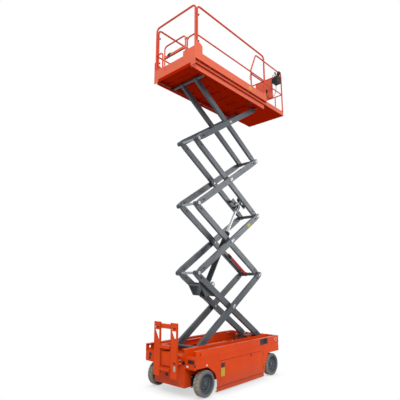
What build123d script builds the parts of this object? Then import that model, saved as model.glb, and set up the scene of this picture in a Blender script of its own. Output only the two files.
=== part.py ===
import os
from math import cos, radians, sin, tan

from build123d import *

os.makedirs("parts", exist_ok=True)

# Driving dimensions in millimetres. The origin is on the ground under the middle of the outline,
# +X points to the steered end, +Y to the machine's left and +Z up.
overall_width = 1170.0
wheelbase = 1850.0
tyre_diameter = 381.0
tyre_width = 127.0
chassis_length = 2320.0
ladder_back = 1330.0
extension_front = 1960.0

arm_length = 2215.0
arm_depth = 108.0
arm_width = 50.0
arm_wall = 6.0
rest_angle = 33.0
stages = 4
pivot_x = 1100.0
base_pin_z = 636.0
inner_arm_y = 180.0
outer_arm_y = 240.0

deck_back = 1168.0
deck_front = 1145.0
deck_half_width = 550.0
rail_height = 1190.0
extension_stroke = 850.0

# Places that follow from the driving dimensions.
mid_x = (ladder_back - extension_front) / 2
axle_x = wheelbase / 2
wheel_y = (overall_width - tyre_width) / 2
wheel_z = tyre_diameter / 2
pivot = mid_x + pivot_x
c = cos(radians(rest_angle))
s = sin(radians(rest_angle))
run = arm_length * c
rise = arm_length * s
slider = pivot - run
top_z = base_pin_z + stages * rise
end_radius = 42.0
boss_proud = 3.0
pin_radius = 20.0
bar_radius = 22.0
running_gap = 0.5


def bend(points, radius, tube_radius):
    """A round bar bent along a line of points, added to the open part."""
    with BuildLine() as route:
        FilletPolyline(*points, radius=radius)
    with BuildSketch(Plane(origin=route.line @ 0, z_dir=route.line % 0)) as section:
        Circle(tube_radius)
    sweep(section.sketch, path=route.line)


def cross_bar(x, z, radius, half_length, y=0.0):
    """A round bar that lies across the machine."""
    with Locations(Location((x, y, z), (90, 0, 0))):
        Cylinder(radius, 2 * half_length)


def rod(start, end, radius):
    """A straight round bar between two points."""
    axis = Vector(*end) - Vector(*start)
    with BuildSketch(Plane(origin=start, z_dir=axis)) as section:
        Circle(radius)
    extrude(section.sketch, amount=axis.length)


def both_sides(name):
    """Copies what the open part holds on one side to the other side."""
    mirror(name.part, about=Plane.XZ)


# Chassis. Each side is one pressed plate with a wheel arch at both ends and the opening for the
# swing-out tray; between them two webs, floor pans and end panels make one welded box.
chassis_half = chassis_length / 2
side_y = overall_width / 2 - 7
side_top = 677.0
sheet = 5.0
plate_face = side_y - sheet
tie_down_radius = 22.0
beam_plate = 4.0
arch_top = 430.0
skirt_bottom = 104.0
skirt_back = -680.0
skirt_front = 668.0
web_y = 330.0
web_top = 682.0
floor_z = 556.0
door_half = 598.0
door_bottom = 112.0
door_top = 466.0
steer_box_y = 235.0
hinge_x = 622.0
hinge_y = side_y - 8
tray_hinge_z = (190.0, 410.0)

for side, hand in ((-1, "right"), (1, "left")):
    with BuildPart() as side_frame:
        with BuildSketch(Plane.XZ.offset(-side * side_y)):
            with BuildLine():
                Polyline(
                    (mid_x - chassis_half, arch_top),
                    (mid_x - 905, arch_top),
                    (mid_x + skirt_back - 30, 300),
                    (mid_x + skirt_back, 180),
                    (mid_x + skirt_back, skirt_bottom),
                    (mid_x + skirt_front, skirt_bottom),
                    (mid_x + skirt_front, 200),
                    (mid_x + skirt_front + 130, arch_top - 20),
                    (mid_x + chassis_half, arch_top - 20),
                    (mid_x + chassis_half, side_top),
                    (mid_x - chassis_half, side_top),
                    close=True,
                )
            make_face()
            arches = vertices().filter_by_position(Axis.Y, 250, arch_top + 5).sort_by(Axis.X)
            fillet(arches.filter_by_position(Axis.X, mid_x - 910, mid_x - 700), 90)
            with Locations((mid_x, (door_bottom + door_top) / 2)):
                RectangleRounded(2 * door_half + 10, door_top - door_bottom + 10, 12, mode=Mode.SUBTRACT)
            for z in tray_hinge_z:
                with Locations((mid_x + hinge_x - 5, z)):
                    Rectangle(35, 70, mode=Mode.SUBTRACT)
            with Locations((mid_x - 1075, 620), (mid_x + 1067, 620)):
                Circle(tie_down_radius, mode=Mode.SUBTRACT)
        extrude(amount=side * sheet)
        # the beam plate welded on along the top, proud of the skirt
        with BuildSketch(Plane.XZ.offset(-side * side_y)):
            with Locations((mid_x, (floor_z + 6 + side_top) / 2)):
                Rectangle(chassis_length, side_top - floor_z - 6)
            with Locations((mid_x - 1075, 620), (mid_x + 1067, 620)):
                Circle(tie_down_radius, mode=Mode.SUBTRACT)
            with Locations((mid_x + 655, 620)):
                RectangleRounded(246, 103, 11, mode=Mode.SUBTRACT)
        extrude(amount=-side * beam_plate)
        # the folded top edge with its return lip, and the flange at the fold line
        for z in (side_top - 2.5, floor_z + 2.5):
            with Locations((mid_x, side * (side_y - 30), z)):
                Box(chassis_length - 2 * sheet, 60, sheet)
        with Locations((mid_x + 75, side * (side_y - 57.5), side_top - 15)):
            Box(chassis_length - 160, sheet, 30)
    side_frame.part.label = f"{hand}_side_frame"
    export_step(side_frame.part, f"parts/{hand}_side_frame.step")

with BuildPart() as chassis:
    # the floor pan that joins the side to the web, above the wheels
    with Locations((mid_x, -(plate_face + web_y) / 2, floor_z - 2.5)):
        Box(chassis_length, plate_face - web_y, sheet)
    # the long web, deep between the axles and cut back over the steered wheels
    with BuildSketch(Plane.XZ.offset(web_y + 6)):
        with BuildLine():
            Polyline(
                (mid_x - chassis_half, 130),
                (mid_x + 640, 130),
                (mid_x + 640, 400),
                (mid_x + 690, arch_top),
                (mid_x + chassis_half, arch_top),
                (mid_x + chassis_half, web_top),
                (mid_x - chassis_half, web_top),
                close=True,
            )
        make_face()
    extrude(amount=-6)
    # the roller track on the web: two flanges that hold the lower rollers
    for z in (base_pin_z - 43, base_pin_z + 43):
        with Locations((mid_x - 620, -303, z)):
            Box(1060, 60, 6)
    # the lug that carries the fixed lower pivot
    with BuildSketch(Plane.XZ.offset(226)):
        with Locations((pivot, base_pin_z)):
            Circle(44)
        with Locations((pivot, base_pin_z - 45)):
            Rectangle(88, 90)
        with Locations((pivot, base_pin_z)):
            Circle(pin_radius + running_gap, mode=Mode.SUBTRACT)
    extrude(amount=-14)
    both_sides(chassis)
    # the bottom pan between the webs, the inner floor, and the narrow box between the steered wheels
    with Locations((mid_x - 260, 0, 133)):
        Box(1800, 2 * web_y, 6)
    with Locations((mid_x, 0, floor_z - 3)):
        Box(chassis_length - 20, 2 * web_y, 6)
    with BuildSketch(Plane.YZ.offset(mid_x + 630)):
        with Locations((0, 275)):
            Rectangle(2 * steer_box_y, 290)
            Rectangle(2 * steer_box_y - 12, 278, mode=Mode.SUBTRACT)
    extrude(amount=chassis_half - 640)
    with Locations((mid_x + 643, 0, 270)):
        Box(6, 2 * web_y + 12, 280)
    # the end panels: the rear one stops at the floor, the front one closes the beams
    for x, sign, end_top in (
        (mid_x - chassis_half, 1, floor_z + sheet),
        (mid_x + chassis_half, -1, side_top),
    ):
        with BuildSketch(Plane.YZ.offset(x)):
            with Locations((0, (arch_top - 20 + end_top) / 2)):
                Rectangle(2 * plate_face, end_top - arch_top + 20)
        extrude(amount=sign * sheet)
    # stiffening ribs across the bottom pan
    with Locations((mid_x - 950, 0, 150), (mid_x - 350, 0, 150), (mid_x + 250, 0, 150)):
        Box(40, 2 * web_y, 30)
    with Locations((mid_x - chassis_half + 2.5, 0, 270)):
        Box(sheet, 2 * web_y + 12, 280)
    # the outlet pocket and the round socket hole in the rear panel
    with Locations((mid_x - chassis_half, -478, 516)):
        Box(40, 110, 34, mode=Mode.SUBTRACT)
    with Locations(Location((mid_x - chassis_half, -314, 485), (0, 90, 0))):
        Cylinder(14, 40, mode=Mode.SUBTRACT)
chassis.part.label = "chassis_frame"
export_step(chassis.part, "parts/chassis_frame.step")

# Rear axle: a flanged brake housing and a stub bolted to each side of the chassis box.
hub_face_y = wheel_y - 12
web_face = web_y + 6
with BuildPart() as rear_axle:
    for side in (-1, 1):
        with Locations((mid_x - axle_x, side * (web_face + 6), wheel_z + 10)):
            Box(190, 12, 170)
        cross_bar(mid_x - axle_x, wheel_z, 70, 30, side * (web_face + 40))
        cross_bar(mid_x - axle_x, wheel_z, 52, (hub_face_y - web_face) / 2, side * (hub_face_y + web_face) / 2)
        cross_bar(mid_x - axle_x, wheel_z, 24.95, 20, side * (hub_face_y + 18))
rear_axle.part.label = "rear_axle"
export_step(rear_axle.part, "parts/rear_axle.step")

# Front axle: upper and lower yoke plates on the steering box, bored for the two kingpins.
kingpin_y = 420.0
yoke_top = 318.0
yoke_bottom = 66.0
with BuildPart() as front_axle:
    for z in (yoke_top, yoke_bottom):
        with BuildSketch(Plane.XY.offset(z - 8)):
            with BuildLine():
                Polyline(
                    (mid_x + axle_x - 110, 236),
                    (mid_x + axle_x - 28, 380),
                    (mid_x + axle_x - 28, kingpin_y),
                    (mid_x + axle_x + 28, kingpin_y),
                    (mid_x + axle_x + 28, 380),
                    (mid_x + axle_x + 110, 236),
                    close=True,
                )
            make_face()
            with Locations((mid_x + axle_x, kingpin_y)):
                Circle(28)
                Circle(15.5, mode=Mode.SUBTRACT)
        extrude(amount=16)
    with Locations((mid_x + axle_x, 238, (yoke_top + yoke_bottom) / 2)):
        Box(220, 6, yoke_top - yoke_bottom + 16)
    both_sides(front_axle)
front_axle.part.label = "front_axle"
export_step(front_axle.part, "parts/front_axle.step")

# Steering knuckles: a kingpin post between the yokes with a motor housing on its outer side.
for side, name in ((-1, "right_steering_knuckle"), (1, "left_steering_knuckle")):
    with BuildPart() as knuckle:
        with Locations((mid_x + axle_x, side * kingpin_y, (yoke_top + yoke_bottom) / 2)):
            Cylinder(26, yoke_top - yoke_bottom - 16 - 6)
            Cylinder(15, yoke_top - yoke_bottom + 16)
        cross_bar(mid_x + axle_x, wheel_z, 60, (hub_face_y - kingpin_y) / 2, side * (hub_face_y + kingpin_y) / 2)
        cross_bar(mid_x + axle_x, wheel_z, 24.95, 20, side * (hub_face_y + 18))
    knuckle.part.label = name
    export_step(knuckle.part, f"parts/{name}.step")

# Wheels: a dished steel rim, its disc set well back from the outer face, inside a solid tyre.
rim_radius = 148.0
for end, x in (("front", mid_x + axle_x), ("rear", mid_x - axle_x)):
    for side, hand in ((-1, "right"), (1, "left")):
        centre = (x, side * wheel_y, wheel_z)
        hub = Plane(origin=centre, x_dir=(1, 0, 0), z_dir=(0, side, 0))
        radial = Plane(origin=centre, x_dir=(1, 0, 0), z_dir=(0, 0, side))
        spindle = Axis(centre, (0, 1, 0))
        name = f"{end}_{hand}_rim"
        with BuildPart(hub) as rim:
            with BuildSketch(radial):
                with BuildLine():
                    Polyline(
                        (25, -10),
                        (25, 10),
                        (74, 10),
                        (94, -4),
                        (124, -4),
                        (138, 10),
                        (138, 52),
                        (rim_radius, 58),
                        (rim_radius, -58),
                        (138, -52),
                        (130, -12),
                        close=True,
                    )
                make_face()
            revolve(axis=spindle)
            with PolarLocations(108, 6):
                Cylinder(9, 60, mode=Mode.SUBTRACT)
        rim.part.label = name
        export_step(rim.part, f"parts/{name}.step")

        name = f"{end}_{hand}_tyre"
        with BuildPart() as tyre:
            with BuildSketch(radial):
                with BuildLine():
                    Polyline(
                        (rim_radius, -tyre_width / 2 + 6),
                        (158, -tyre_width / 2),
                        (176, -tyre_width / 2 + 2),
                        (tyre_diameter / 2, -tyre_width / 2 + 16),
                        (tyre_diameter / 2, tyre_width / 2 - 16),
                        (176, tyre_width / 2 - 2),
                        (158, tyre_width / 2),
                        (rim_radius, tyre_width / 2 - 6),
                        close=True,
                    )
                make_face()
            revolve(axis=spindle)
        tyre.part.label = name
        export_step(tyre.part, f"parts/{name}.step")

# Entry ladder behind the chassis: two plate uprights with cut-outs and folded edges, a top bar,
# two folded treads, a panel set back between them and standoffs to the rear panel.
ladder_y = -80.0
ladder_half = 265.0
ladder_bottom = 280.0
ladder_top = 1078.0
upright_width = 150.0
ladder_x = mid_x - ladder_back
inner_half = ladder_half - upright_width
with BuildPart() as ladder:
    with BuildSketch(Plane.YZ.offset(ladder_x)):
        for hand in (-1, 1):
            upright_y = ladder_y + hand * (ladder_half - upright_width / 2)
            with Locations((upright_y, (ladder_bottom + ladder_top) / 2)):
                RectangleRounded(upright_width, ladder_top - ladder_bottom, 8)
            with Locations((upright_y, ladder_top - 82)):
                RectangleRounded(100, 22, 6, mode=Mode.SUBTRACT)
            with BuildLine():
                Polyline(
                    (upright_y + 46, ladder_top - 120),
                    (upright_y - 46, ladder_top - 120),
                    (upright_y - 46, ladder_top - 262),
                    (upright_y - 36, ladder_top - 262),
                    close=True,
                )
            make_face(mode=Mode.SUBTRACT)
    extrude(amount=sheet)
    for hand in (-1, 1):
        for y, depth in ((ladder_half - 2.5, 90), (inner_half + 2.5, 45)):
            with Locations((ladder_x + depth / 2, ladder_y + hand * y, (ladder_bottom + ladder_top) / 2)):
                Box(depth, sheet, ladder_top - ladder_bottom - 16)
    with Locations((ladder_x + 22, ladder_y, ladder_top - 60)):
        Box(34, 2 * inner_half, 70)
    with Locations((ladder_x + 42, ladder_y, 540)):
        Box(sheet, 2 * inner_half, 204)
    for z in (395, 714):
        with BuildSketch(Plane.XZ.offset(-ladder_y)):
            with Locations((ladder_x + 33, z)):
                RectangleRounded(110, 44, 8)
            with Locations((ladder_x + 40, z - 8)):
                Rectangle(110, 40, mode=Mode.SUBTRACT)
        extrude(amount=inner_half, both=True)
    for hand in (-1, 1):
        with Locations((mid_x - (ladder_back + chassis_half) / 2 + 20, ladder_y + hand * (ladder_half - 2.5), 500)):
            Box(ladder_back - chassis_half - 40, sheet, 90)
ladder.part.label = "ladder"
export_step(ladder.part, "parts/ladder.step")

# Ground control station: a grilled box let into the right-hand side beam.
with BuildPart() as ground_controls:
    with BuildSketch(Plane.XZ.offset(side_y)):
        with Locations((mid_x + 655, 620)):
            RectangleRounded(243, 100, 10)
    extrude(amount=4)
    with BuildSketch(Plane.XZ.offset(side_y + 4)):
        with GridLocations(0, 14, 1, 5):
            with Locations((mid_x + 620, 620)):
                Rectangle(120, 6)
    extrude(amount=-3, mode=Mode.SUBTRACT)
ground_controls.part.label = "ground_controls"
export_step(ground_controls.part, "parts/ground_controls.step")

# Swing-out trays: a skirt door with an open box behind it, hinged at its front edge.
tray_inner = 352.0
tray_outer = 536.0
tray_floor = 180.0
pan_top = tray_floor + 4
for side, hand in ((-1, "right"), (1, "left")):
    with BuildPart() as tray:
        with BuildSketch(Plane.XZ.offset(-side * side_y)):
            with Locations((mid_x, (door_bottom + door_top) / 2)):
                RectangleRounded(2 * door_half, door_top - door_bottom, 10)
        extrude(amount=side * sheet)
        with BuildSketch(Plane.XY.offset(tray_floor)):
            with Locations((mid_x, side * (tray_inner + tray_outer) / 2)):
                Rectangle(1120, tray_outer - tray_inner)
        extrude(amount=130)
        with BuildSketch(Plane.XY.offset(pan_top)):
            with Locations((mid_x, side * (tray_inner + tray_outer) / 2)):
                Rectangle(1112, tray_outer - tray_inner - 8)
        extrude(amount=130, mode=Mode.SUBTRACT)
        for x in (-450, 0, 450):
            with Locations((mid_x + x, side * (tray_outer + side_y - sheet) / 2, tray_floor + 30)):
                Box(40, side_y - sheet - tray_outer, 60)
        for z in tray_hinge_z:
            with Locations((mid_x + hinge_x, side * hinge_y, z)):
                Cylinder(7, 60)
            with Locations((mid_x + (door_half + hinge_x) / 2 - 4, side * (hinge_y + 3), z)):
                Box(hinge_x - door_half + 4, 4, 50)
    tray.part.label = f"{hand}_tray"
    export_step(tray.part, f"parts/{hand}_tray.step")

with BuildPart() as battery_pack:
    with GridLocations(266, 0, 4, 1):
        with Locations((mid_x, (tray_inner + tray_outer) / 2, pan_top + 130)):
            Box(258, 168, 260)
battery_pack.part.label = "battery_pack"
export_step(battery_pack.part, "parts/battery_pack.step")

with BuildPart() as power_unit:
    with Locations((mid_x - 250, -(tray_inner + tray_outer) / 2, pan_top + 120)):
        Box(520, 160, 240)
    with Locations(Location((mid_x + 200, -(tray_inner + tray_outer) / 2, pan_top + 75), (0, 90, 0))):
        Cylinder(70, 380)
power_unit.part.label = "power_unit"
export_step(power_unit.part, "parts/power_unit.step")

# Pothole guards: folded bars under the skirts that drop when the platform goes up.
guard_bottom = 23.0
guard_height = 76.0
guard_y = side_y - 22.5
for side, hand in ((-1, "right"), (1, "left")):
    with BuildPart() as guard:
        with BuildSketch(Plane.YZ.offset(mid_x + skirt_back + 10)):
            with Locations((side * guard_y, guard_bottom + guard_height / 2)):
                Rectangle(sheet, guard_height)
            with Locations((side * (guard_y - 12.5), guard_bottom + 2.5)):
                Rectangle(30, sheet)
        extrude(amount=skirt_front - skirt_back - 20)
        for x, width in ((-620, 40), (648, 24)):
            with Locations((mid_x + x, side * guard_y, guard_bottom + guard_height + 20)):
                Box(width, sheet, 60)
    guard.part.label = f"{hand}_pothole_guard"
    export_step(guard.part, f"parts/{hand}_pothole_guard.step")


# Scissor stack. The inner arms run from a right-hand pin up to the left, the outer arms from a
# left-hand pin up to the right; each arm is a closed rectangular tube with bossed pin holes.
def arm(lower, upward_x, y, end_bores, centre_bore):
    """One arm from its lower pin, leaning to +X or -X, added to the open part."""
    side = Plane(
        origin=(lower[0], y, lower[1]),
        x_dir=(upward_x * c, 0, s),
        z_dir=(0, -upward_x, 0),
    )
    with BuildSketch(side) as outline:
        with Locations((arm_length / 2, 0)):
            Rectangle(arm_length - 230, arm_depth)
        for x in (0, arm_length):
            with Locations((x, 0)):
                Circle(end_radius)
        make_hull()
    extrude(outline.sketch, amount=arm_width / 2, both=True)
    with BuildSketch(side) as bosses:
        with Locations((0, 0), (arm_length / 2, 0), (arm_length, 0)):
            Circle(38)
    extrude(bosses.sketch, amount=arm_width / 2 + boss_proud, both=True)
    with BuildSketch(side) as hollow:
        for x in (arm_length / 4 + 10, arm_length * 3 / 4 - 10):
            with Locations((x, 0)):
                Rectangle(arm_length / 2 - 200, arm_depth - 2 * arm_wall)
    extrude(hollow.sketch, amount=arm_width / 2 - arm_wall, both=True, mode=Mode.SUBTRACT)
    with BuildSketch(side) as drains:
        for x in (150, arm_length - 150):
            with Locations((x, 0)):
                SlotOverall(56, 16)
    extrude(drains.sketch, amount=arm_width / 2 + 1, both=True, mode=Mode.SUBTRACT)
    with BuildSketch(side) as bores:
        for x, radius in ((0, end_bores[0]), (arm_length / 2, centre_bore), (arm_length, end_bores[1])):
            with Locations((x, 0)):
                Circle(radius)
    extrude(bores.sketch, amount=arm_width, both=True, mode=Mode.SUBTRACT)


# The lift cylinder stands square to the arms at rest: trunnions near the foot of the barrel turn
# in ears on the lowest inner arms, and the rod eye sits between ears on the third inner arms.
trunnion_along = 1695.0
trunnion_above = 103.0
eye_along = 420.0
eye_above = 15.0
trunnion = (
    pivot - trunnion_along * c + trunnion_above * s,
    base_pin_z + trunnion_along * s + trunnion_above * c,
)
eye = (
    pivot - eye_along * c + eye_above * s,
    base_pin_z + 2 * rise + eye_along * s + eye_above * c,
)
reach = Vector(eye[0] - trunnion[0], 0, eye[1] - trunnion[1])
cylinder_length = reach.length
cylinder_dir = reach.normalized()
barrel_radius = 50.0
barrel_foot = 240.0
barrel_head = 1170.0
piston_place = 500.0
ear_y = 62.0

for stage in range(1, stages + 1):
    low_right = (pivot, base_pin_z + (stage - 1) * rise)
    high_left = (slider, base_pin_z + stage * rise)
    along = Plane(origin=(low_right[0], 0, low_right[1]), x_dir=(-c, 0, s), z_dir=(0, 1, 0))
    upper_bore = bar_radius
    with BuildPart() as inner:
        for side in (-1, 1):
            arm(low_right, -1, side * inner_arm_y, (pin_radius + running_gap, upper_bore), pin_radius + running_gap)
        with BuildSketch(along):
            Circle(32)
            Circle(26, mode=Mode.SUBTRACT)
        extrude(amount=inner_arm_y - arm_width / 2 + 1, both=True)
        if stage == 1:
            # ears above the arms for the trunnions, closed below by a cross plate
            for side in (-1, 1):
                ear = Plane(origin=(low_right[0], side * 142, low_right[1]), x_dir=(-c, 0, s), z_dir=(0, 1, 0))
                with BuildSketch(ear):
                    with BuildLine():
                        Polyline(
                            (trunnion_along - 50, trunnion_above),
                            (trunnion_along - 150, -50),
                            (trunnion_along + 70, -165),
                            (trunnion_along + 340, -50),
                            (trunnion_along + 50, trunnion_above),
                            close=True,
                        )
                    make_face()
                    with Locations((trunnion_along, trunnion_above)):
                        Circle(50)
                        Circle(25.5, mode=Mode.SUBTRACT)
                extrude(amount=8, both=True)
            with BuildSketch(along):
                with Locations((trunnion_along + 265, -75)):
                    Rectangle(60, 10)
            extrude(amount=142, both=True)
        if stage == 3:
            # ears on short tubes for the rod eye
            for side in (-1, 1):
                ear = Plane(origin=(low_right[0], side * (ear_y + 6), low_right[1]), x_dir=(-c, 0, s), z_dir=(0, 1, 0))
                with BuildSketch(ear):
                    with Locations((eye_along, eye_above)):
                        RectangleRounded(300, 96, 30)
                extrude(amount=6, both=True)
                with BuildSketch(ear):
                    with Locations((eye_along - 100, eye_above), (eye_along + 100, eye_above)):
                        Circle(26)
                extrude(amount=side * (inner_arm_y - arm_width / 2 - ear_y + 2))
        if stage == stages:
            with BuildSketch(Plane.XZ):
                with Locations((high_left[0], high_left[1])):
                    Circle(28)
            extrude(amount=412, both=True)
    inner.part.label = f"inner_arms_{stage}"
    export_step(inner.part, f"parts/inner_arms_{stage}.step")

    low_left = (slider, base_pin_z + (stage - 1) * rise)
    high_right = (pivot, base_pin_z + stage * rise)
    with BuildPart() as outer:
        lower_bore = bar_radius + running_gap if stage > 1 else pin_radius
        for side in (-1, 1):
            arm(low_left, 1, side * outer_arm_y, (lower_bore, pin_radius), pin_radius)
        if stage == 1:
            cross_bar(low_left[0], low_left[1], 30, outer_arm_y - arm_width / 2 + 1)
    outer.part.label = f"outer_arms_{stage}"
    export_step(outer.part, f"parts/outer_arms_{stage}.step")

    # pins fixed in the outer arms: the centre pins and the upper right-hand pins
    centre = ((pivot + slider) / 2, base_pin_z + (stage - 0.5) * rise)
    pin_in = inner_arm_y - arm_width / 2 - 2
    head_y = outer_arm_y + arm_width / 2 + boss_proud
    with BuildPart() as outer_pins:
        for x, z in (centre, high_right):
            for side in (-1, 1):
                cross_bar(x, z, pin_radius, (head_y - pin_in) / 2, side * (head_y + pin_in) / 2)
                if stage < stages or (x, z) == centre:
                    cross_bar(x, z, 29, 3, side * (head_y + 3))
                else:
                    cross_bar(x, z, pin_radius, 12, side * (head_y + 12))
    outer_pins.part.label = f"outer_pins_{stage}"
    export_step(outer_pins.part, f"parts/outer_pins_{stage}.step")

    # the bars that ride in the inner arms and carry the next outer arms at the left
    if stage < stages:
        with BuildPart() as inner_pins:
            cross_bar(high_left[0], high_left[1], bar_radius, head_y)
            for side in (-1, 1):
                cross_bar(high_left[0], high_left[1], 31, 3, side * (head_y + 3))
                if stage == 1:
                    cross_bar(pivot, base_pin_z, pin_radius, 42, side * 192)
        inner_pins.part.label = f"inner_pins_{stage}"
        export_step(inner_pins.part, f"parts/inner_pins_{stage}.step")

with BuildPart() as base_rollers:
    for side in (-1, 1):
        cross_bar(slider, base_pin_z, 36, 14, side * 290)
        cross_bar(slider, base_pin_z, pin_radius, 44, side * 261)
base_rollers.part.label = "base_rollers"
export_step(base_rollers.part, "parts/base_rollers.step")

channel_y = 470.0
with BuildPart() as top_rollers:
    for side in (-1, 1):
        cross_bar(slider, top_z, 33, 14, side * (channel_y - 25))
        cross_bar(slider, top_z, 16, 24, side * (channel_y - 34))
top_rollers.part.label = "top_rollers"
export_step(top_rollers.part, "parts/top_rollers.step")

# Lift cylinder.
axis_plane = Plane(origin=(trunnion[0], 0, trunnion[1]), x_dir=(0, 1, 0), z_dir=cylinder_dir)
with BuildPart() as barrel:
    with BuildSketch(axis_plane.offset(-barrel_foot)):
        Circle(barrel_radius)
    extrude(amount=barrel_foot + barrel_head)
    with BuildSketch(axis_plane.offset(barrel_head - 60)):
        Circle(barrel_radius + 6)
    extrude(amount=60)
    with BuildSketch(axis_plane.offset(-barrel_foot + 30)):
        Circle(barrel_radius - 8)
    extrude(amount=barrel_foot + barrel_head - 90, mode=Mode.SUBTRACT)
    with BuildSketch(axis_plane.offset(barrel_head - 70)):
        Circle(28.5)
    extrude(amount=80, mode=Mode.SUBTRACT)
    for side in (-1, 1):
        cross_bar(trunnion[0], trunnion[1], 25, 52, side * (barrel_radius + 48))
barrel.part.label = "lift_cylinder_barrel"
export_step(barrel.part, "parts/lift_cylinder_barrel.step")

with BuildPart() as cylinder_rod:
    with BuildSketch(axis_plane.offset(piston_place)):
        Circle(28)
    extrude(amount=cylinder_length - piston_place - 30)
    with BuildSketch(axis_plane.offset(piston_place)):
        Circle(barrel_radius - 9)
    extrude(amount=40)
    cross_bar(eye[0], eye[1], 42, 52)
    cross_bar(eye[0], eye[1], 24, 60)
cylinder_rod.part.label = "lift_cylinder_rod"
export_step(cylinder_rod.part, "parts/lift_cylinder_rod.step")

# Safety prop: a bar hung on the cross tube at the first right-hand knuckle.
prop_length = 700.0
prop_y = 105.0
with BuildPart() as prop:
    prop_side = Plane(origin=(pivot, prop_y, base_pin_z + rise), x_dir=(-c, 0, s), z_dir=(0, 1, 0))
    with BuildSketch(prop_side):
        Circle(44)
        with Locations((prop_length / 2, 0)):
            Rectangle(prop_length, 44)
        Circle(32.6, mode=Mode.SUBTRACT)
    extrude(amount=14, both=True)
prop.part.label = "safety_prop"
export_step(prop.part, "parts/safety_prop.step")

# Platform deck: a floor with folded toe boards, a rear panel and the two roller channels below.
floor = top_z + 56
toe_top = top_z + 262
step_z = top_z + 105
deck_length = deck_back + deck_front
rail_radius = 18.0
rail_y = 527.0
post_bottom = step_z + 4
gate_sill = 240.0
rear_x = mid_x - deck_back + 24
post_x = (rear_x, mid_x - deck_back + 70, mid_x + deck_front - 35)
with BuildPart() as deck:
    with BuildSketch(Plane.YZ.offset(mid_x - deck_back)):
        with BuildLine():
            Polyline(
                (0, floor),
                (505, floor),
                (505, step_z),
                (deck_half_width, step_z),
                (deck_half_width, toe_top),
                (deck_half_width - 14, toe_top),
                (deck_half_width - 14, toe_top - 4),
                (deck_half_width - 4, toe_top - 4),
                (deck_half_width - 4, step_z + 4),
                (501, step_z + 4),
                (501, floor + 5),
                (0, floor + 5),
                close=True,
            )
        make_face()
        with BuildLine():
            Polyline(
                (channel_y, floor),
                (channel_y, top_z - 41),
                (channel_y - 50, top_z - 41),
                (channel_y - 50, top_z - 35),
                (channel_y - 6, top_z - 35),
                (channel_y - 6, top_z + 35),
                (channel_y - 50, top_z + 35),
                (channel_y - 50, top_z + 41),
                (channel_y - 6, top_z + 41),
                (channel_y - 6, floor),
                close=True,
            )
        make_face()
        mirror(about=Plane.YZ)
    extrude(amount=deck_length)
    with BuildSketch(Plane.YZ.offset(mid_x - deck_back)):
        with Locations((0, (top_z - 10 + toe_top) / 2)):
            Rectangle(2 * deck_half_width, toe_top - top_z + 10)
        with Locations((-(deck_half_width + gate_sill) / 2, toe_top + 40)):
            Rectangle(deck_half_width - gate_sill, 100)
        with Locations((15, toe_top)):
            Rectangle(2 * gate_sill + 30, 210, mode=Mode.SUBTRACT)
    extrude(amount=4)
    # the upright plates that tie the rear panel to the toe boards
    for side in (-1, 1):
        with BuildSketch(Plane.XZ.offset(-side * deck_half_width)):
            with BuildLine():
                Polyline(
                    (mid_x - deck_back, toe_top - 10),
                    (mid_x - deck_back + 190, toe_top - 10),
                    (mid_x - deck_back + 190, toe_top + 150),
                    (mid_x - deck_back + 120, toe_top + 185),
                    (mid_x - deck_back, toe_top + 200),
                    close=True,
                )
            make_face()
        extrude(amount=side * 4)
    # shallow cross ribs under the floor, kept out of the way of the arm ends
    with GridLocations(300, 0, 7, 1):
        with Locations((mid_x, 0, floor - 10)):
            Box(36, 280, 20)
        for side in (-1, 1):
            with Locations((mid_x, side * 355, floor - 10)):
                Box(36, 140, 20)
    for y in (202, 278):
        for side in (-1, 1):
            with BuildSketch(Plane.XZ.offset(side * y)):
                with Locations((pivot, top_z)):
                    Circle(40)
                with Locations((pivot, top_z + 30)):
                    Rectangle(80, 60)
                with Locations((pivot, top_z)):
                    Circle(pin_radius + running_gap, mode=Mode.SUBTRACT)
            extrude(amount=6, both=True)
    # the folded toe board edge is cut round the feet of the rail posts
    for x in post_x:
        for side in (-1, 1):
            with Locations((x, side * rail_y, (post_bottom + toe_top) / 2)):
                Cylinder(rail_radius, toe_top - post_bottom, mode=Mode.SUBTRACT)
deck.part.label = "platform_deck"
export_step(deck.part, "parts/platform_deck.step")

# Guard rails of the main platform.
rail_top = floor + rail_height - rail_radius - 20
mid_rail = top_z + 605
for side, hand in ((-1, "right"), (1, "left")):
    with BuildPart() as side_rail:
        y = side * rail_y
        bend(
            [
                (post_x[1], y, post_bottom),
                (post_x[1], y, rail_top),
                (post_x[2], y, rail_top),
                (post_x[2], y, post_bottom),
            ],
            80,
            rail_radius,
        )
        rod((post_x[1], y, mid_rail), (post_x[2], y, mid_rail), 14)
    side_rail.part.label = f"{hand}_guard_rail"
    export_step(side_rail.part, f"parts/{hand}_guard_rail.step")

with BuildPart() as rear_rail:
    bend(
        [
            (rear_x, -rail_y, post_bottom),
            (rear_x, -rail_y, rail_top),
            (rear_x, rail_y, rail_top),
            (rear_x, rail_y, post_bottom),
        ],
        80,
        rail_radius,
    )
    for y_out, y_in in ((-rail_y, -325), (rail_y, 340)):
        bend([(rear_x, y_out, mid_rail), (rear_x, y_in, mid_rail), (rear_x, y_in, floor + 5)], 70, 14)
rear_rail.part.label = "rear_guard_rail"
export_step(rear_rail.part, "parts/rear_guard_rail.step")

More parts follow.
